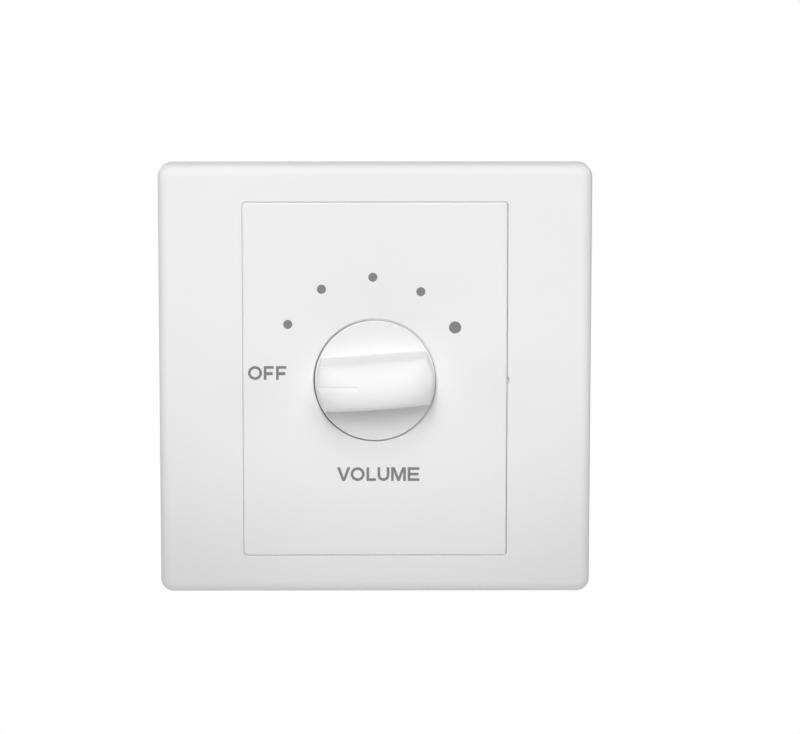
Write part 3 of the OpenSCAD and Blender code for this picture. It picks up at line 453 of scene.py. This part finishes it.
def makeInsertPanel(p):
    rear, hole, throat = p["front"] - p["wall"], p["hole"], p["hole"] - 2 * p["holeLip"]
    collar, collarEnd = hole + 2 * p["collarWall"], rear - p["collarDepth"]
    outer = (p["wide"], p["tall"], p["corner"])
    inner = (p["wide"] - 2 * p["skirt"], p["tall"] - 2 * p["skirt"], p["innerCorner"])
    lipped = (p["wide"] + 2 * p["lip"], p["tall"] + 2 * p["lip"], p["corner"] + p["lip"])
    bm = bmesh.new()
    skin(bm, [circle(hole, collarEnd),
              circle(hole, p["lipRear"]),  # lips that close the sight lines round the panel and the knob
              circle(throat, p["lipRear"]),
              circle(throat, p["lipFront"] - 2 * p["lipSlope"]),
              circle(hole, p["lipFront"] - p["lipSlope"]),
              *rounded(*circle(hole, p["front"]), p["holeEdge"], p["edgeSteps"], -1),
              *reversed(rounded(*outer, p["front"], p["edge"], p["edgeSteps"])),
              (*outer, p["lipFront"] + p["lipSlope"]),
              (*lipped, p["lipFront"]),
              (*lipped, p["lipRear"]),
              (*outer, p["lipRear"]),
              (*outer, p["foot"]),
              (*inner, p["foot"]),
              (*inner, rear),
              circle(collar, rear),
              circle(collar, collarEnd)], p["quarter"])
    inThroat = [v for v in bm.verts if abs(v.co.xy.length - throat / 2) < touching]
    bmesh.ops.translate(bm, verts=inThroat, vec=p["lipShift"])
    rightLip = [v for v in bm.verts if v.co.x > p["wide"] / 2 + p["rightFrom"]]
    bmesh.ops.translate(bm, verts=rightLip, vec=p["rightShift"])
    y1 = p["tall"] / 2
    y0 = y1 - p["skirt"]
    hook = [(y0, p["hookRoot"]), (y1, p["hookRoot"]), (y1, p["hookCatch"]), (y1 + p["barb"], p["hookCatch"]),
            (y1, p["hookTip"]), (y0, p["hookTip"])]
    for sx, sy in fourWays:
        left = sx * p["hookSpan"] / 2 - p["hookWide"] / 2
        pull(bm, [(left, sy * y, z) for y, z in hook], (p["hookWide"], 0, 0))
    addPiece("frontPanel", bm, "shellWhite", "wall_unit", "white_abs", "insert_panel", sharp=38)


makeInsertPanel(insertPanel)
print("insert panel made")

# knob: round base with a bar grip over its full width, crowned across, arched along, and grooved at its left
turnKnob = {
    "across": 24.0, "front": 8.5, "rear": 5.5, "rim": 0.2, "rimSteps": 6, "wall": 1.5, "quarter": 24,
    "underGrip": 3.0, "hub": 10.0, "hubRear": 5.2, "bore": 6.06, "boreEnd": 15.3,
    "gripReach": 11.7, "gripFoot": 5.3, "gripShoulder": 4.66, "gripTall": 9.7, "gripSink": 0.2, "tip": 0.02,
    "stations": 30, "footRound": 0.22, "footSteps": 5, "sides": [(0.2, 2.6), (0.42, 5.4)],  # inwards and up
    "shoulder": 0.9, "shoulderOut": 0.02, "shoulderSteps": 5,
    "crest": -2.2, "crestRise": 2.4, "crownAbove": 9.5, "crownBelow": 3.3,
    "crownAt": (3.4, 2.9, 2.4, 1.9, 1.4, 1.0, 0.75, 0.5, 0.36, 0.22, 0.0),
    "arch": 60.0, "endFrom": 7.0, "endRadius": 11.0, "lip": 0.8,
    "grooveDeep": 0.11, "grooveEnd": -3.3, "grooveRamp": 0.25, "grooveFrom": -0.75, "grooveTo": 0.3,
    "grooveSlope": 0.97, "grooveTurn": -0.063, "turnReach": 4.0, "tilt": 4.2,
}


def gripDrop(k, x):  # how far the crown's line lies below its top, along the grip
    far = abs(x)
    drop = k["arch"] - math.sqrt(k["arch"] ** 2 - far ** 2)
    if far > k["endFrom"]:
        drop += k["endRadius"] - math.sqrt(k["endRadius"] ** 2 - (far - k["endFrom"]) ** 2)
    lip = far - (k["gripReach"] - k["lip"])
    if lip > 0:
        drop += k["lip"] - math.sqrt(max(0.0, k["lip"] ** 2 - lip ** 2))
    return drop


def crownHeight(k, x, y):  # the grip's section: a broad curve above its crest and a tight one below
    off = y - k["crest"] - k["crestRise"] * abs(x / k["gripReach"]) ** 3
    return k["gripTall"] - off ** 2 / (2 * (k["crownAbove"] if off > 0 else k["crownBelow"]))


# section of the grip from one foot to the groove's middle; side -1 for the lower foot
def gripSide(k, x, side):
    foot, wide, hollow = k["gripFoot"], k["gripShoulder"], k["footRound"]
    corner = (wide, crownHeight(k, x, side * wide))
    low = (wide + k["shoulderOut"], corner[1] - k["shoulder"])
    high = (wide - k["shoulder"], crownHeight(k, x, side * (wide - k["shoulder"])))
    half = [(foot + hollow, -k["gripSink"])]
    for i in range(k["footSteps"] + 1):  # hollow fillet at the foot
        t = math.pi / 2 * i / k["footSteps"]
        half.append((foot + hollow * (1 - math.sin(t)), hollow * (1 - math.cos(t))))
    half += [(foot - inwards, up) for inwards, up in k["sides"]]
    for i in range(k["shoulderSteps"] + 1):  # shoulder, a short curve from the side to the crown
        t = i / k["shoulderSteps"]
        weights = ((1 - t) ** 2, 2 * t * (1 - t), t ** 2)
        half.append(tuple(sum(w * v for w, v in zip(weights, values)) for values in zip(low, corner, high)))
    half += [(y, crownHeight(k, x, side * y)) for y in k["crownAt"]]
    return [(side * y, z) for y, z in half]


def gripRow(k, x):  # the whole section at one station, squeezed into the round base and cut by the groove
    reach = math.sqrt(max(0.0, k["gripReach"] ** 2 - x ** 2))
    squeeze = min(1.0, max(reach, k["tip"]) / k["gripFoot"])
    scale = 1 - gripDrop(k, x) / k["gripTall"]
    inGroove = reach and x < k["grooveEnd"] - k["grooveRamp"] / 2
    shift = k["grooveTurn"] * min(0.0, x - k["grooveEnd"]) if reach else 0.0
    lower = gripSide(k, x, -1 if reach else 1)  # the two tips close on one line
    row = []
    for y, z in lower[:-1] + gripSide(k, x, 1)[::-1]:
        deep = 0.0
        if inGroove and y < k["grooveTo"]:
            deep = k["grooveDeep"] * max(0.0, (y - k["grooveFrom"]) / k["grooveSlope"])
        if abs(y) < k["turnReach"] and z > k["gripTall"] / 2:  # moved aside, so that the groove lies level
            y += shift * (1 - (y / k["turnReach"]) ** 2) ** 2
            z = crownHeight(k, x, y)
        row.append((x, max(-reach, min(reach, y * squeeze)), k["front"] + z * scale - deep))
    return row


def makeKnob(k):
    bm = bmesh.new()
    across, front, rear = k["across"], k["front"], k["rear"]
    skirtIn, under = across - 2 * k["wall"], front - k["wall"]
    rim = [(wide, z) for wide, _, _, z in rounded(*circle(across, front), k["rim"], k["rimSteps"])]
    outside = [(skirtIn, rear), (across, rear), *rim, (k["underGrip"], front)]
    inside = [(skirtIn, rear), (skirtIn, under), (k["hub"], under), (k["hub"], k["hubRear"]),
              (k["bore"], k["hubRear"]), (k["bore"], k["boreEnd"])]
    for line in (outside, inside):
        last = sweep(bm, [ring(*circle(d, z), k["quarter"]) for d, z in line])
        bmesh.ops.holes_fill(bm, edges=last, sides=0)
    turns = [i / k["stations"] * math.pi / 2 for i in range(k["stations"] + 1)]
    stations = {round(side * k["gripReach"] * math.sin(turn), 4) for turn in turns for side in (-1, 1)}
    stations |= {k["grooveEnd"], k["grooveEnd"] - k["grooveRamp"]}
    sweep(bm, [gripRow(k, x) for x in sorted(stations)])
    tilt = Matrix.Rotation(math.radians(k["tilt"]), 3, "Z")
    bmesh.ops.rotate(bm, verts=bm.verts, cent=(0, 0, 0), matrix=tilt)
    addPiece("turnKnob", bm, "knobWhite", "control", "knob_abs", "knob", sharp=50)


makeKnob(turnKnob)
print("knob made")

# printed marks on the panel: five dots round the knob, OFF at its left and VOLUME below
printedMarks = {
    "face": 8.0, "film": 0.03, "tall": 2.76, "stroke": 0.53, "dotSides": 40, "letterSides": 48,
    "dots": [(-17.33, 11.23, 0.9), (-10.64, 18.24, 0.9), (-0.46, 20.61, 0.9),  # x, y and radius
             (9.05, 17.73, 0.9), (15.86, 10.59, 1.21)],
    "words": [("OFF", -25.26, 0.12, (0, 3.13, 5.58), (2.78, 1.98, 2.04)),  # left, low, starts and widths
              ("VOLUME", -7.61, -20.28, (0, 2.72, 5.89, 8.09, 10.8, 14.1),
               (2.68, 2.79, 1.9, 2.36, 2.94, 2.34))],
}


def letterShape(letter, w, h, t):  # outline of a letter w wide and h tall, its strokes t thick
    if letter == "F":
        arm, high, low = 0.9 * w, 0.66 * h - t / 2, 0.34 * h
        return [(0, 0), (0, h), (w, h), (w, h - t), (t, h - t), (t, high), (arm, high), (arm, low), (t, low),
                (t, 0)]
    if letter == "L":
        return [(0, 0), (0, h), (t, h), (t, t), (w, t), (w, 0)]
    if letter == "E":
        arm, high, low = 0.93 * w, h / 2 + t / 2, h / 2 - t / 2
        return [(0, 0), (0, h), (w, h), (w, h - t), (t, h - t), (t, high), (arm, high), (arm, low), (t, low),
                (t, t), (w, t), (w, 0)]
    if letter == "V":
        top, fork, foot = 1.15 * t, 1.25 * t, 0.52 * t
        return [(0, h), (top, h), (w / 2, fork), (w - top, h), (w, h), (w / 2 + foot, 0), (w / 2 - foot, 0)]
    if letter == "M":
        top, fork, foot, notch = 1.35 * t, 1.55 * t, 0.48 * t, h - 1.7 * t
        return [(0, 0), (0, h), (top, h), (w / 2, fork), (w - top, h), (w, h), (w, 0), (w - t, 0),
                (w - t, notch), (w / 2 + foot, 0), (w / 2 - foot, 0), (t, notch), (t, 0)]
    outer, inner, steps = w / 2, w / 2 - t, 20  # U: two stems joined by half a ring
    return [(0, h), *arc(outer, outer, outer, outer, 180, 360, steps), (w, h),
            (w - t, h), *arc(outer, outer, inner, inner, 360, 180, steps), (t, h)]


def makeMarks(m):
    bm = bmesh.new()
    z, film, tall, stroke = m["face"], m["film"], m["tall"], m["stroke"]
    for x, y, r in m["dots"]:
        thicken(bm, loop(x, y, r, r, m["dotSides"]), z, film)
    for word, left, low, starts, widths in m["words"]:
        for letter, start, wide in zip(word, starts, widths):
            if letter == "O":
                x, y = left + start + wide / 2, low + tall / 2
                rows = []
                for inset, lift in ((0, 0), (0, film), (stroke, film), (stroke, 0), (0, 0)):
                    outline = loop(x, y, wide / 2 - inset, tall / 2 - inset, m["letterSides"])
                    rows.append([(u, v, z + lift) for u, v in outline])
                sweep(bm, rows)
            else:
                outline = letterShape(letter, wide, tall, stroke)
                thicken(bm, [(left + start + u, low + v) for u, v in outline], z, film)
    addPiece("printedMarks", bm, "legendInk", "wall_unit", "white_abs")


makeMarks(printedMarks)
print("printed marks made")

# transformer core: two stacks of thin plates, each plate a hair smaller than the stack, over a plain heart
coreStack = {
    "half": 16.5, "leg": 5.5, "low": 3.5, "seam": 9.0, "yoke": 25.5, "high": 31.0, "rear": -33.4,
    "plates": 22, "pitch": 0.5, "plate": 0.42, "tight": 0.005, "loose": 0.05,
    "heartInset": 0.22, "heartEnd": 0.1,
}


def plateShapes(c, inset):
    w, leg, inner = c["half"] - inset, c["leg"] - inset, c["half"] - c["leg"] + inset
    low, yoke, high = c["low"] + inset, c["yoke"] + inset, c["high"] - inset
    under, over = c["seam"] - inset, c["seam"] + inset
    return {
        "corePlatesE": [(-w, high), (w, high), (w, over), (inner, over), (inner, yoke), (leg, yoke),
                        (leg, over), (-leg, over), (-leg, yoke), (-inner, yoke), (-inner, over), (-w, over)],
        "corePlatesI": [(-w, low), (w, low), (w, under), (-w, under)],
    }


def makeCore(c):
    margin = (c["pitch"] - c["plate"]) / 2
    for name, node in (("corePlatesE", "core_e_stack"), ("corePlatesI", "core_i_stack")):
        bm = bmesh.new()
        heart = plateShapes(c, c["heartInset"])[name]
        thicken(bm, heart, c["rear"] + c["heartEnd"], c["plates"] * c["pitch"] - 2 * c["heartEnd"])
        for i in range(c["plates"]):
            plate = plateShapes(c, dice.uniform(c["tight"], c["loose"]))[name]
            thicken(bm, plate, c["rear"] + i * c["pitch"] + margin, c["plate"])
        addPiece(name, bm, "coreSheet", "wall_unit", "core_steel", node)


makeCore(coreStack)
print("core plates made")

# coil: rows of enamelled wire under a tape sleeve that swells between the flanges and ends in a loose tail
coil = {
    "height": 17.25, "depth": -27.9, "long": 14.3, "turns": 34, "bite": 0.1, "wall": 0.6,
    "wireAcross": 20.2, "wireCorner": 1.5, "wireQuarter": 4, "hollowCorner": 0.9,
    "rib": [(0.02, 1.0), (0.2, 0.3), (0.5, 0.0), (0.8, 0.3), (0.98, 1.0)],  # share of a turn and of the bite
    "tapeAcross": 20.8, "tapeCorner": 1.8, "tapeQuarter": 6, "tapeGap": 0.04, "tapeEnd": 0.35,
    "tapeStep": 0.05, "underTape": 0.16, "underCorner": 1.7, "swell": 0.14, "swellSteps": 12,
    "tailWide": 9.0, "tailLong": 13.4, "tailThick": 0.07, "tailAt": 1.2, "tailLift": 0.02, "tailEdge": 0.02,
}


def makeCoil(c):
    # drawn along z, then laid along y
    ontoLeg = Matrix(((1, 0, 0, 0), (0, 0, 1, c["height"]), (0, 1, 0, c["depth"]), (0, 0, 0, 1)))
    half, across, full = c["long"] / 2, c["wireAcross"], c["tapeAcross"]
    hollow = across - 2 * c["wall"]
    rows = [(hollow, hollow, c["hollowCorner"], -half)]
    for i in range(c["turns"]):  # each turn a round rib
        for at, deep in c["rib"]:
            side = across - 2 * c["bite"] * deep
            rows.append((side, side, c["wireCorner"], -half + (i + at) * c["long"] / c["turns"]))
    rows.append((hollow, hollow, c["hollowCorner"], half))
    bm = bmesh.new()
    skin(bm, rows, c["wireQuarter"])
    bm.transform(ontoLeg)
    addPiece("coilWire", bm, "copperWire", "wall_unit", "copper_wire", "winding", sharp=60)
    inside = (across + c["tapeGap"], across + c["tapeGap"], c["wireCorner"])
    under = (full - 2 * c["underTape"], full - 2 * c["underTape"], c["underCorner"])
    rows = [(*inside, -half), (*under, -half), (*under, -half + c["tapeEnd"])]
    for i in range(c["swellSteps"] + 1):
        share = i / c["swellSteps"] * 2 - 1
        side = full + 2 * c["swell"] * (1 - share ** 2)
        rows.append((side, side, c["tapeCorner"], share * (half - c["tapeEnd"] - c["tapeStep"])))
    rows += [(*under, half - c["tapeEnd"]), (*under, half), (*inside, half)]
    bm = bmesh.new()
    skin(bm, rows, c["tapeQuarter"])
    tail = (c["tailAt"], -full / 2 - c["swell"] - c["tailLift"], 0)
    box(bm, (c["tailWide"], c["tailThick"], c["tailLong"]), tail, c["tailEdge"])
    bm.transform(ontoLeg)
    addPiece("coilTape", bm, "tapeFilm", "wall_unit", "yellow_tape", "winding_tape", sharp=40)


makeCoil(coil)
print("coil made")

# detent spring: one wire wound across the spindle's flange
detentSpring = {"radius": 1.1, "wire": 0.4, "turns": 14, "half": 7.85, "depth": -6.6,
                "stepsPerTurn": 24, "sides": 10}


def makeSpring(d):
    bm = bmesh.new()
    # turned over, so that the wire's first end faces outwards
    start = Matrix.Translation((-d["half"], d["radius"], 0)) @ Matrix.Rotation(math.pi, 4, "Y")
    bmesh.ops.create_circle(bm, cap_ends=True, segments=d["sides"], radius=d["wire"] / 2, matrix=start)
    steps = d["turns"] * d["stepsPerTurn"]
    bmesh.ops.spin(bm, geom=[*bm.verts, *bm.edges, *bm.faces], cent=(-d["half"], 0, 0), axis=(1, 0, 0),
                   dvec=(2 * d["half"] / steps, 0, 0), angle=2 * math.pi * d["turns"], steps=steps,
                   use_merge=False)
    bmesh.ops.translate(bm, verts=bm.verts, vec=(0, 0, d["depth"]))
    addPiece("detentCoil", bm, "springSteel", "control", "spring_steel", "detent_spring", sharp=60)


makeSpring(detentSpring)
print("detent spring made")

# circuit board: etched tracks under the mask, tinned pads and printed outlines on both faces
boardWork = {
    "rear": -17.1, "front": -15.5, "track": 0.035, "tin": 0.05, "print": 0.025,
    "trackWide": 1.0, "line": 0.22, "break": 0.05, "discSides": 28,
    "padRing": 1.35, "switchHole": 0.62, "pinHole": 0.72, "via": (0, -16.5), "viaRing": 0.9, "viaHole": 0.3,
    "switchTurns": [-15 - 30 * i for i in range(6)], "switchReach": 8.6, "commonPin": (0.0, -4.5),
    "coilPins": [(x, y) for x in (-7.5, -2.5, 2.5, 7.5) for y in (7.1, 27.4)],
    "clampTails": [(-11.43, -24.5), (-3.81, -24.5), (3.81, -24.5), (11.43, -24.5)],
    "rearTracks": [  # each from the switch pin of that number
        (0, [(10.4, -2.2), (10.4, 2.2), (5.5, 7.1), (2.5, 7.1)]),
        (1, [(12.6, -6.1), (12.6, 4.6), (10.0, 7.1), (7.5, 7.1)]),
        (5, [(-10.4, -2.2), (-10.4, 2.2), (-5.5, 7.1), (-2.5, 7.1)]),
        (4, [(-12.6, -6.1), (-12.6, 4.6), (-10.0, 7.1), (-7.5, 7.1)]),
        (2, [(2.2, -11.0), (3.81, -13.0), (3.81, -24.5)]),
        (3, [(-2.2, -11.0), (-3.81, -13.0), (-3.81, -24.5)]),
        (6, [(0, -9.6), (0, -16.5)])],
    "frontTracks": [
        [(-7.5, 27.4), (-16.5, 27.4), (-19.0, 24.9), (-19.0, -15.0), (-11.43, -22.5), (-11.43, -24.5)],
        [(-2.5, 27.4), (-2.5, 24.4), (2.5, 24.4), (2.5, 27.4)],
        [(0, -16.5), (5.4, -16.5), (11.43, -22.5), (11.43, -24.5)]],
    "outlines": [(17.4, 2.6, 31.6), (15.8, -32.3, -20.4)],  # transformer, terminals: half width, low, high
    "poleMarks": [[(x, -20.2), (x, -19.0)] for x in (-7.62, 0.0, 7.62)],
    "switchOutline": (14.4, 14.18), "offMark": [(-14.5, 0), (-16.0, 0)],
}


def ribbon(bm, points, wide, z, film):  # flat track along a bent line, mitred at its corners
    line = [Vector(p) for p in points]
    runs = [(b - a).normalized() for a, b in zip(line, line[1:])]
    left, right = [], []
    for i, point in enumerate(line):
        before, after = runs[max(i - 1, 0)], runs[min(i, len(runs) - 1)]
        across = Vector((-before.y - after.y, before.x + after.x)).normalized()
        across *= wide / 2 / across.dot(Vector((-before.y, before.x)))
        left.append(tuple(point + across))
        right.append(tuple(point - across))
    thicken(bm, left + right[::-1], z, film)


def disc(bm, place, outer, inner, sides, z, film):
    rows = [(outer, 0), (outer, film), (inner, film), (inner, 0), (outer, 0)]
    sweep(bm, [[(x, y, z + lift) for x, y in loop(*place, r, r, sides)] for r, lift in rows])


def makeBoardWork(b):
    tracks, pads, lines = bmesh.new(), bmesh.new(), bmesh.new()
    rear, front, sides = b["rear"], b["front"], b["discSides"]
    turns = [math.radians(turn) for turn in b["switchTurns"]]
    switchPins = [(b["switchReach"] * math.cos(turn), b["switchReach"] * math.sin(turn)) for turn in turns]
    switchPins.append(b["commonPin"])
    for pin, route in b["rearTracks"]:
        ribbon(tracks, [switchPins[pin], *route], b["trackWide"], rear, -b["track"])
    for route in b["frontTracks"]:
        ribbon(tracks, route, b["trackWide"], front, b["track"])
    disc(pads, b["via"], b["viaRing"], b["viaHole"], sides, rear, -b["tin"])
    disc(pads, b["via"], b["viaRing"], b["viaHole"], sides, front, b["tin"])
    for place in switchPins:
        disc(pads, place, b["padRing"], b["switchHole"], sides, rear, -b["tin"])
    for place in b["coilPins"] + b["clampTails"]:
        disc(pads, place, b["padRing"], b["pinHole"], sides, front, b["tin"])
    for half, low, high in b["outlines"]:
        for side in (-1, 1):
            start, end = side * b["break"], side * half
            outline = [(start, low), (end, low), (end, high), (start, high)]
            ribbon(lines, outline, b["line"], rear, -b["print"])
    for mark in b["poleMarks"]:
        ribbon(lines, mark, b["line"], rear, -b["print"])
    disc(lines, (0, 0), *b["switchOutline"], sides, front, b["print"])
    ribbon(lines, b["offMark"], b["line"], front, b["print"])
    addPiece("boardTracks", tracks, "maskedCopper", "wall_unit", "board_laminate")
    addPiece("boardPads", pads, "solderTin", "wall_unit", "solder")
    addPiece("boardOutlines", lines, "boardInk", "wall_unit", "board_laminate")


makeBoardWork(boardWork)
print("board work made")

# terminal block: one moulding with screw wells, wire funnels and a groove between the poles
terminalBlock = {
    "wide": 30.48, "back": -21.0, "front": -32.0, "rear": -30.1, "foot": -17.1, "edge": 0.35,
    "pitch": 7.62, "poles": 4, "seam": 0.06, "clampY": -24.5, "cutPast": 1.0,
    "well": 4.7, "wellDeep": 1.85, "wellEase": 0.35, "wellQuarter": 10,
    "entryWide": 5.2, "entryLow": -24.7, "entryHigh": -19.5, "entryDeep": 5.4, "entryCorner": 0.5,
    "entryQuarter": 4, "funnel": 0.45, "webThick": 0.8, "webIn": 1.2, "webShort": 2.0,
}


def makeTerminalBlock(t):
    front, rear, well, flare, funnel = t["front"], t["rear"], t["well"], t["wellEase"], t["funnel"]
    middle, centre, high = (t["back"] + front) / 2, (t["foot"] + rear) / 2, t["foot"] - rear
    entryTall = t["entryHigh"] - t["entryLow"]
    entryMiddle = t["entryLow"] + entryTall / 2
    wellLine = [(well, rear + t["wellDeep"]), (well, rear + flare),
                (well + 2 * flare, rear), (well + 2 * flare, rear - t["cutPast"])]
    entryLine = [(0, front + t["entryDeep"]), (0, front + funnel),
                 (funnel, front), (funnel, front - t["cutPast"])]
    bm, cutter = bmesh.new(), bmesh.new()
    for i in range(t["poles"]):  # one cell for each pole, its eased edges leaving a groove between neighbours
        x = (i - (t["poles"] - 1) / 2) * t["pitch"]
        box(bm, (t["pitch"] - t["seam"], t["back"] - front, high), (x, middle, centre), t["edge"])
        rows = []
        for across, z in wellLine:
            outline = ring(*circle(across, z), t["wellQuarter"])
            rows.append([(x + u, t["clampY"] + v, z) for u, v, _ in outline])
        sweep(cutter, rows)
        rows = []
        for grow, y in entryLine:
            wide, tall, corner = t["entryWide"] + 2 * grow, entryTall + 2 * grow, t["entryCorner"] + grow
            outline = ring(wide, tall, corner, 0, t["entryQuarter"])
            rows.append([(x + u, y, entryMiddle + v) for u, v, _ in outline])
        sweep(cutter, rows)
        bmesh.ops.holes_fill(cutter, edges=[e for e in cutter.edges if e.is_boundary], sides=0)
    bm = cutAway(bm, cutter)
    web = (t["wide"] - 2 * t["edge"], t["webThick"], high - t["webShort"])
    box(bm, web, (0, t["back"] - t["webIn"], centre))  # joins the cells
    addPiece("terminalShell", bm, "blockGreen", "wall_unit", "block_plastic", "terminal_block")


makeTerminalBlock(terminalBlock)
print("terminal block made")

# pieces whose CAD shape is right and only wants its edges eased: merged, flats joined, edges rounded
easedPieces = {
    "core_bracket": ("coreStrap", "bracketSteel", "bracket_steel", 0.16),
    "bobbin": ("coilFormer", "housingBlack", "black_moulding", 0.14),
    "carrier": ("carrierPlate", "carrierWhite", "carrier_plastic", 0.2),
    "switch_housing": ("switchShell", "housingBlack", "black_moulding", 0.2),
    "circuit_board": ("boardBlank", "boardMask", "board_laminate", 0.1),
}
easing = {"merge": 0.002, "flatBelow": 1.5, "edgeAbove": 40}


def easeEdges(node, name, finish, slot, edge):
    bm = bmesh.new()
    bm.from_mesh(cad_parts[node].data)
    bm.transform(wallTurn.inverted())
    bmesh.ops.remove_doubles(bm, verts=bm.verts, dist=easing["merge"])
    flat, steep = math.radians(easing["flatBelow"]), math.radians(easing["edgeAbove"])
    bmesh.ops.dissolve_limit(bm, angle_limit=flat, verts=bm.verts, edges=bm.edges)
    edges = [e for e in bm.edges if len(e.link_faces) == 2 and e.calc_face_angle() > steep]
    ease(bm, edges, edge, clamp=True)
    addPiece(name, bm, finish, "wall_unit", slot, node)


for node, dressed in easedPieces.items():
    easeEdges(node, *dressed)
print("eased pieces made")

# finishes of the CAD pieces that stay
carriedOver = {
    "springSteel": ["knob_clip"],
    "zincSteel": ["switch_spindle", "stop_ring", "lock_washer", "bushing_nut"],
    "screwSteel": ["detent_balls", "board_screws", "bracket_screws", "bracket_nuts", "clamp_screws"],
    "contactBrass": ["wiper_contact", "common_ring", "switch_pins", "wire_clamps"],
    "phenolicBrown": ["switch_base"],
    "solderTin": ["solder_joints"],
    "tinnedPin": ["transformer_pins"],
}
for finish, names in carriedOver.items():
    for name in names:
        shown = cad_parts[name]
        shown.data.materials.clear()
        shown.data.materials.append(finishes[finish])
print("carried-over pieces finished")

# studio: a pale round floor well below the plate, a column of small lamps in front that fade over the plate's
# foot, a broad soft lamp, a low lamp, a card's worth of light at each side, one lamp behind, and a white
# surround; a lamp's place is given by its angles, to the left of the plate's front and up, and its distance
studio = {
    "ambient": 0.105, "floorDrop": -0.45, "floorReach": 0.55, "floorSides": 96,
    "floor": {"light": grey(0.86), "dark": grey(0.84), "matt": 0.85, "grain": 400.0, "depth": 0.00001,
              "glow": 0.28},
    "bank": {"count": 8, "power": 2.27, "size": 0.04, "left": 6.0, "low": 9.5, "high": 38.0, "reach": 1.2,
             "half": 6, "full": -0.018, "dark": -0.066},
    "lamps": {
        "softbox": {"power": 6.8, "size": 0.8, "left": 0, "up": 38.0, "reach": 1.1, "aim": (0, 0, 0)},
        "low": {"power": 0.27, "size": 0.4, "left": 0, "up": -74, "reach": 0.29, "aim": (0, 0, -0.02)},
        "leftCard": {"power": 1.3, "size": 0.5, "left": 74, "up": 6, "reach": 0.9, "aim": (0, 0, 0)},
        "rightCard": {"power": 1.3, "size": 0.5, "left": -74, "up": 6, "reach": 0.9, "aim": (0, 0, 0)},
        "rear": {"power": 7.0, "size": 1.4, "left": 160, "up": 8, "reach": 1.1, "aim": (0, 0, 0),
                 "mirrored": False},
    },
}


def outFrom(left, up, reach):  # point round the plate, by its two angles and its distance
    left, up = math.radians(left), math.radians(up)
    return Vector((-math.sin(left) * math.cos(up), -math.cos(left) * math.cos(up), math.sin(up))) * reach


def lookAt(place, aim):  # matrix of a lamp or a camera
    return Matrix.Translation(place) @ (aim - place).to_track_quat("-Z", "Y").to_matrix().to_4x4()


def hangLamp(data, left, up, reach, aim, mirrored=True):
    lamp = bpy.data.objects.new(data.name, data)
    lamp.matrix_world = lookAt(outFrom(left, up, reach), Vector(aim))
    lamp.visible_camera = False
    lamp.visible_glossy = mirrored  # the bare metal behind shows the white surround alone
    bpy.context.scene.collection.objects.link(lamp)


def makeBank(b):  # the column of small lamps
    half = math.radians(b["half"])
    for i in range(b["count"]):
        up = b["low"] + (b["high"] - b["low"]) * i / (b["count"] - 1)
        slant = math.cos(math.radians(up))
        middle = b["dark"] * slant + b["reach"] * math.tan(half)  # the beam's middle, above its lower rim
        bright = math.atan((middle - b["full"] * slant) / b["reach"])
        data = bpy.data.lights.new(f"bank{i + 1}", "SPOT")
        data.energy = b["power"]
        data.shadow_soft_size = b["size"] / 2
        data.spot_size = 2 * half
        data.spot_blend = (math.cos(bright) - math.cos(half)) / (1 - math.cos(half))
        hangLamp(data, b["left"], up, b["reach"], (0, 0, middle / slant))


def makeLamp(name, power, size, **hung):
    data = bpy.data.lights.new(name, "AREA")
    data.energy = power
    data.size = size
    hangLamp(data, **hung)


def seenRay(graph):  # 1 where the camera looks, straight or by way of gloss and glass
    kinds = ("Camera", "Glossy", "Transmission")
    camera, gloss, glass = [graph.node("ShaderNodeLightPath", {}, {}, f"Is {kind} Ray") for kind in kinds]
    return camera.calc("MAXIMUM", camera.calc("MAXIMUM", camera, gloss), glass)


def floorPaint(graph, place, look):  # pale to the eye at any light, with the object's shadow on it
    glow = graph.mix(seenRay(graph), grey(0.0), grey(look["glow"]))
    return {**moulded(graph, place, look), "Emission Color": glow, "Emission Strength": 1.0}


def makeStudio(s):
    bm = bmesh.new()
    below = Matrix.Translation((0, 0, s["floorDrop"]))
    bmesh.ops.create_circle(bm, cap_ends=True, segments=s["floorSides"], radius=s["floorReach"], matrix=below)
    floor = putInScene("floor", bm)
    floor.data.materials.append(makeFinish("floorPale", floorPaint, s["floor"]))
    makeBank(s["bank"])
    for name, lamp in s["lamps"].items():
        makeLamp(name, **lamp)
    world = bpy.data.worlds.new("surround")
    bpy.context.scene.world = world
    graph = Graph(world)
    white = graph.node("ShaderNodeBackground", {}, {"Color": grey(1), "Strength": 1.0})
    fill = graph.node("ShaderNodeBackground", {}, {"Color": grey(1), "Strength": s["ambient"]})
    both = graph.node("ShaderNodeMixShader", {}, {0: seenRay(graph), 1: fill, 2: white})
    graph.node("ShaderNodeOutputWorld", {}, {"Surface": both})


makeStudio(studio)

# camera: the photograph's view, a little above the plate's middle
photoView = {"away": 0.6829, "left": 0.37, "up": 8.09, "lens": 152.8, "sensor": 36.0, "shiftX": 0.0314,
             "shiftY": 0.0096, "nearest": 0.01}


def makeCamera(v):
    data = bpy.data.cameras.new("photoView")
    data.lens = v["lens"]
    data.sensor_width = v["sensor"]
    data.shift_x = v["shiftX"]
    data.shift_y = v["shiftY"]
    data.clip_start = v["nearest"]
    camera = bpy.data.objects.new("photoView", data)
    camera.matrix_world = lookAt(outFrom(v["left"], v["up"], v["away"]), Vector((0, 0, 0)))
    bpy.context.scene.collection.objects.link(camera)
    bpy.context.scene.camera = camera


makeCamera(photoView)
bpy.context.scene.view_settings.view_transform = "Standard"
print("studio and camera set")
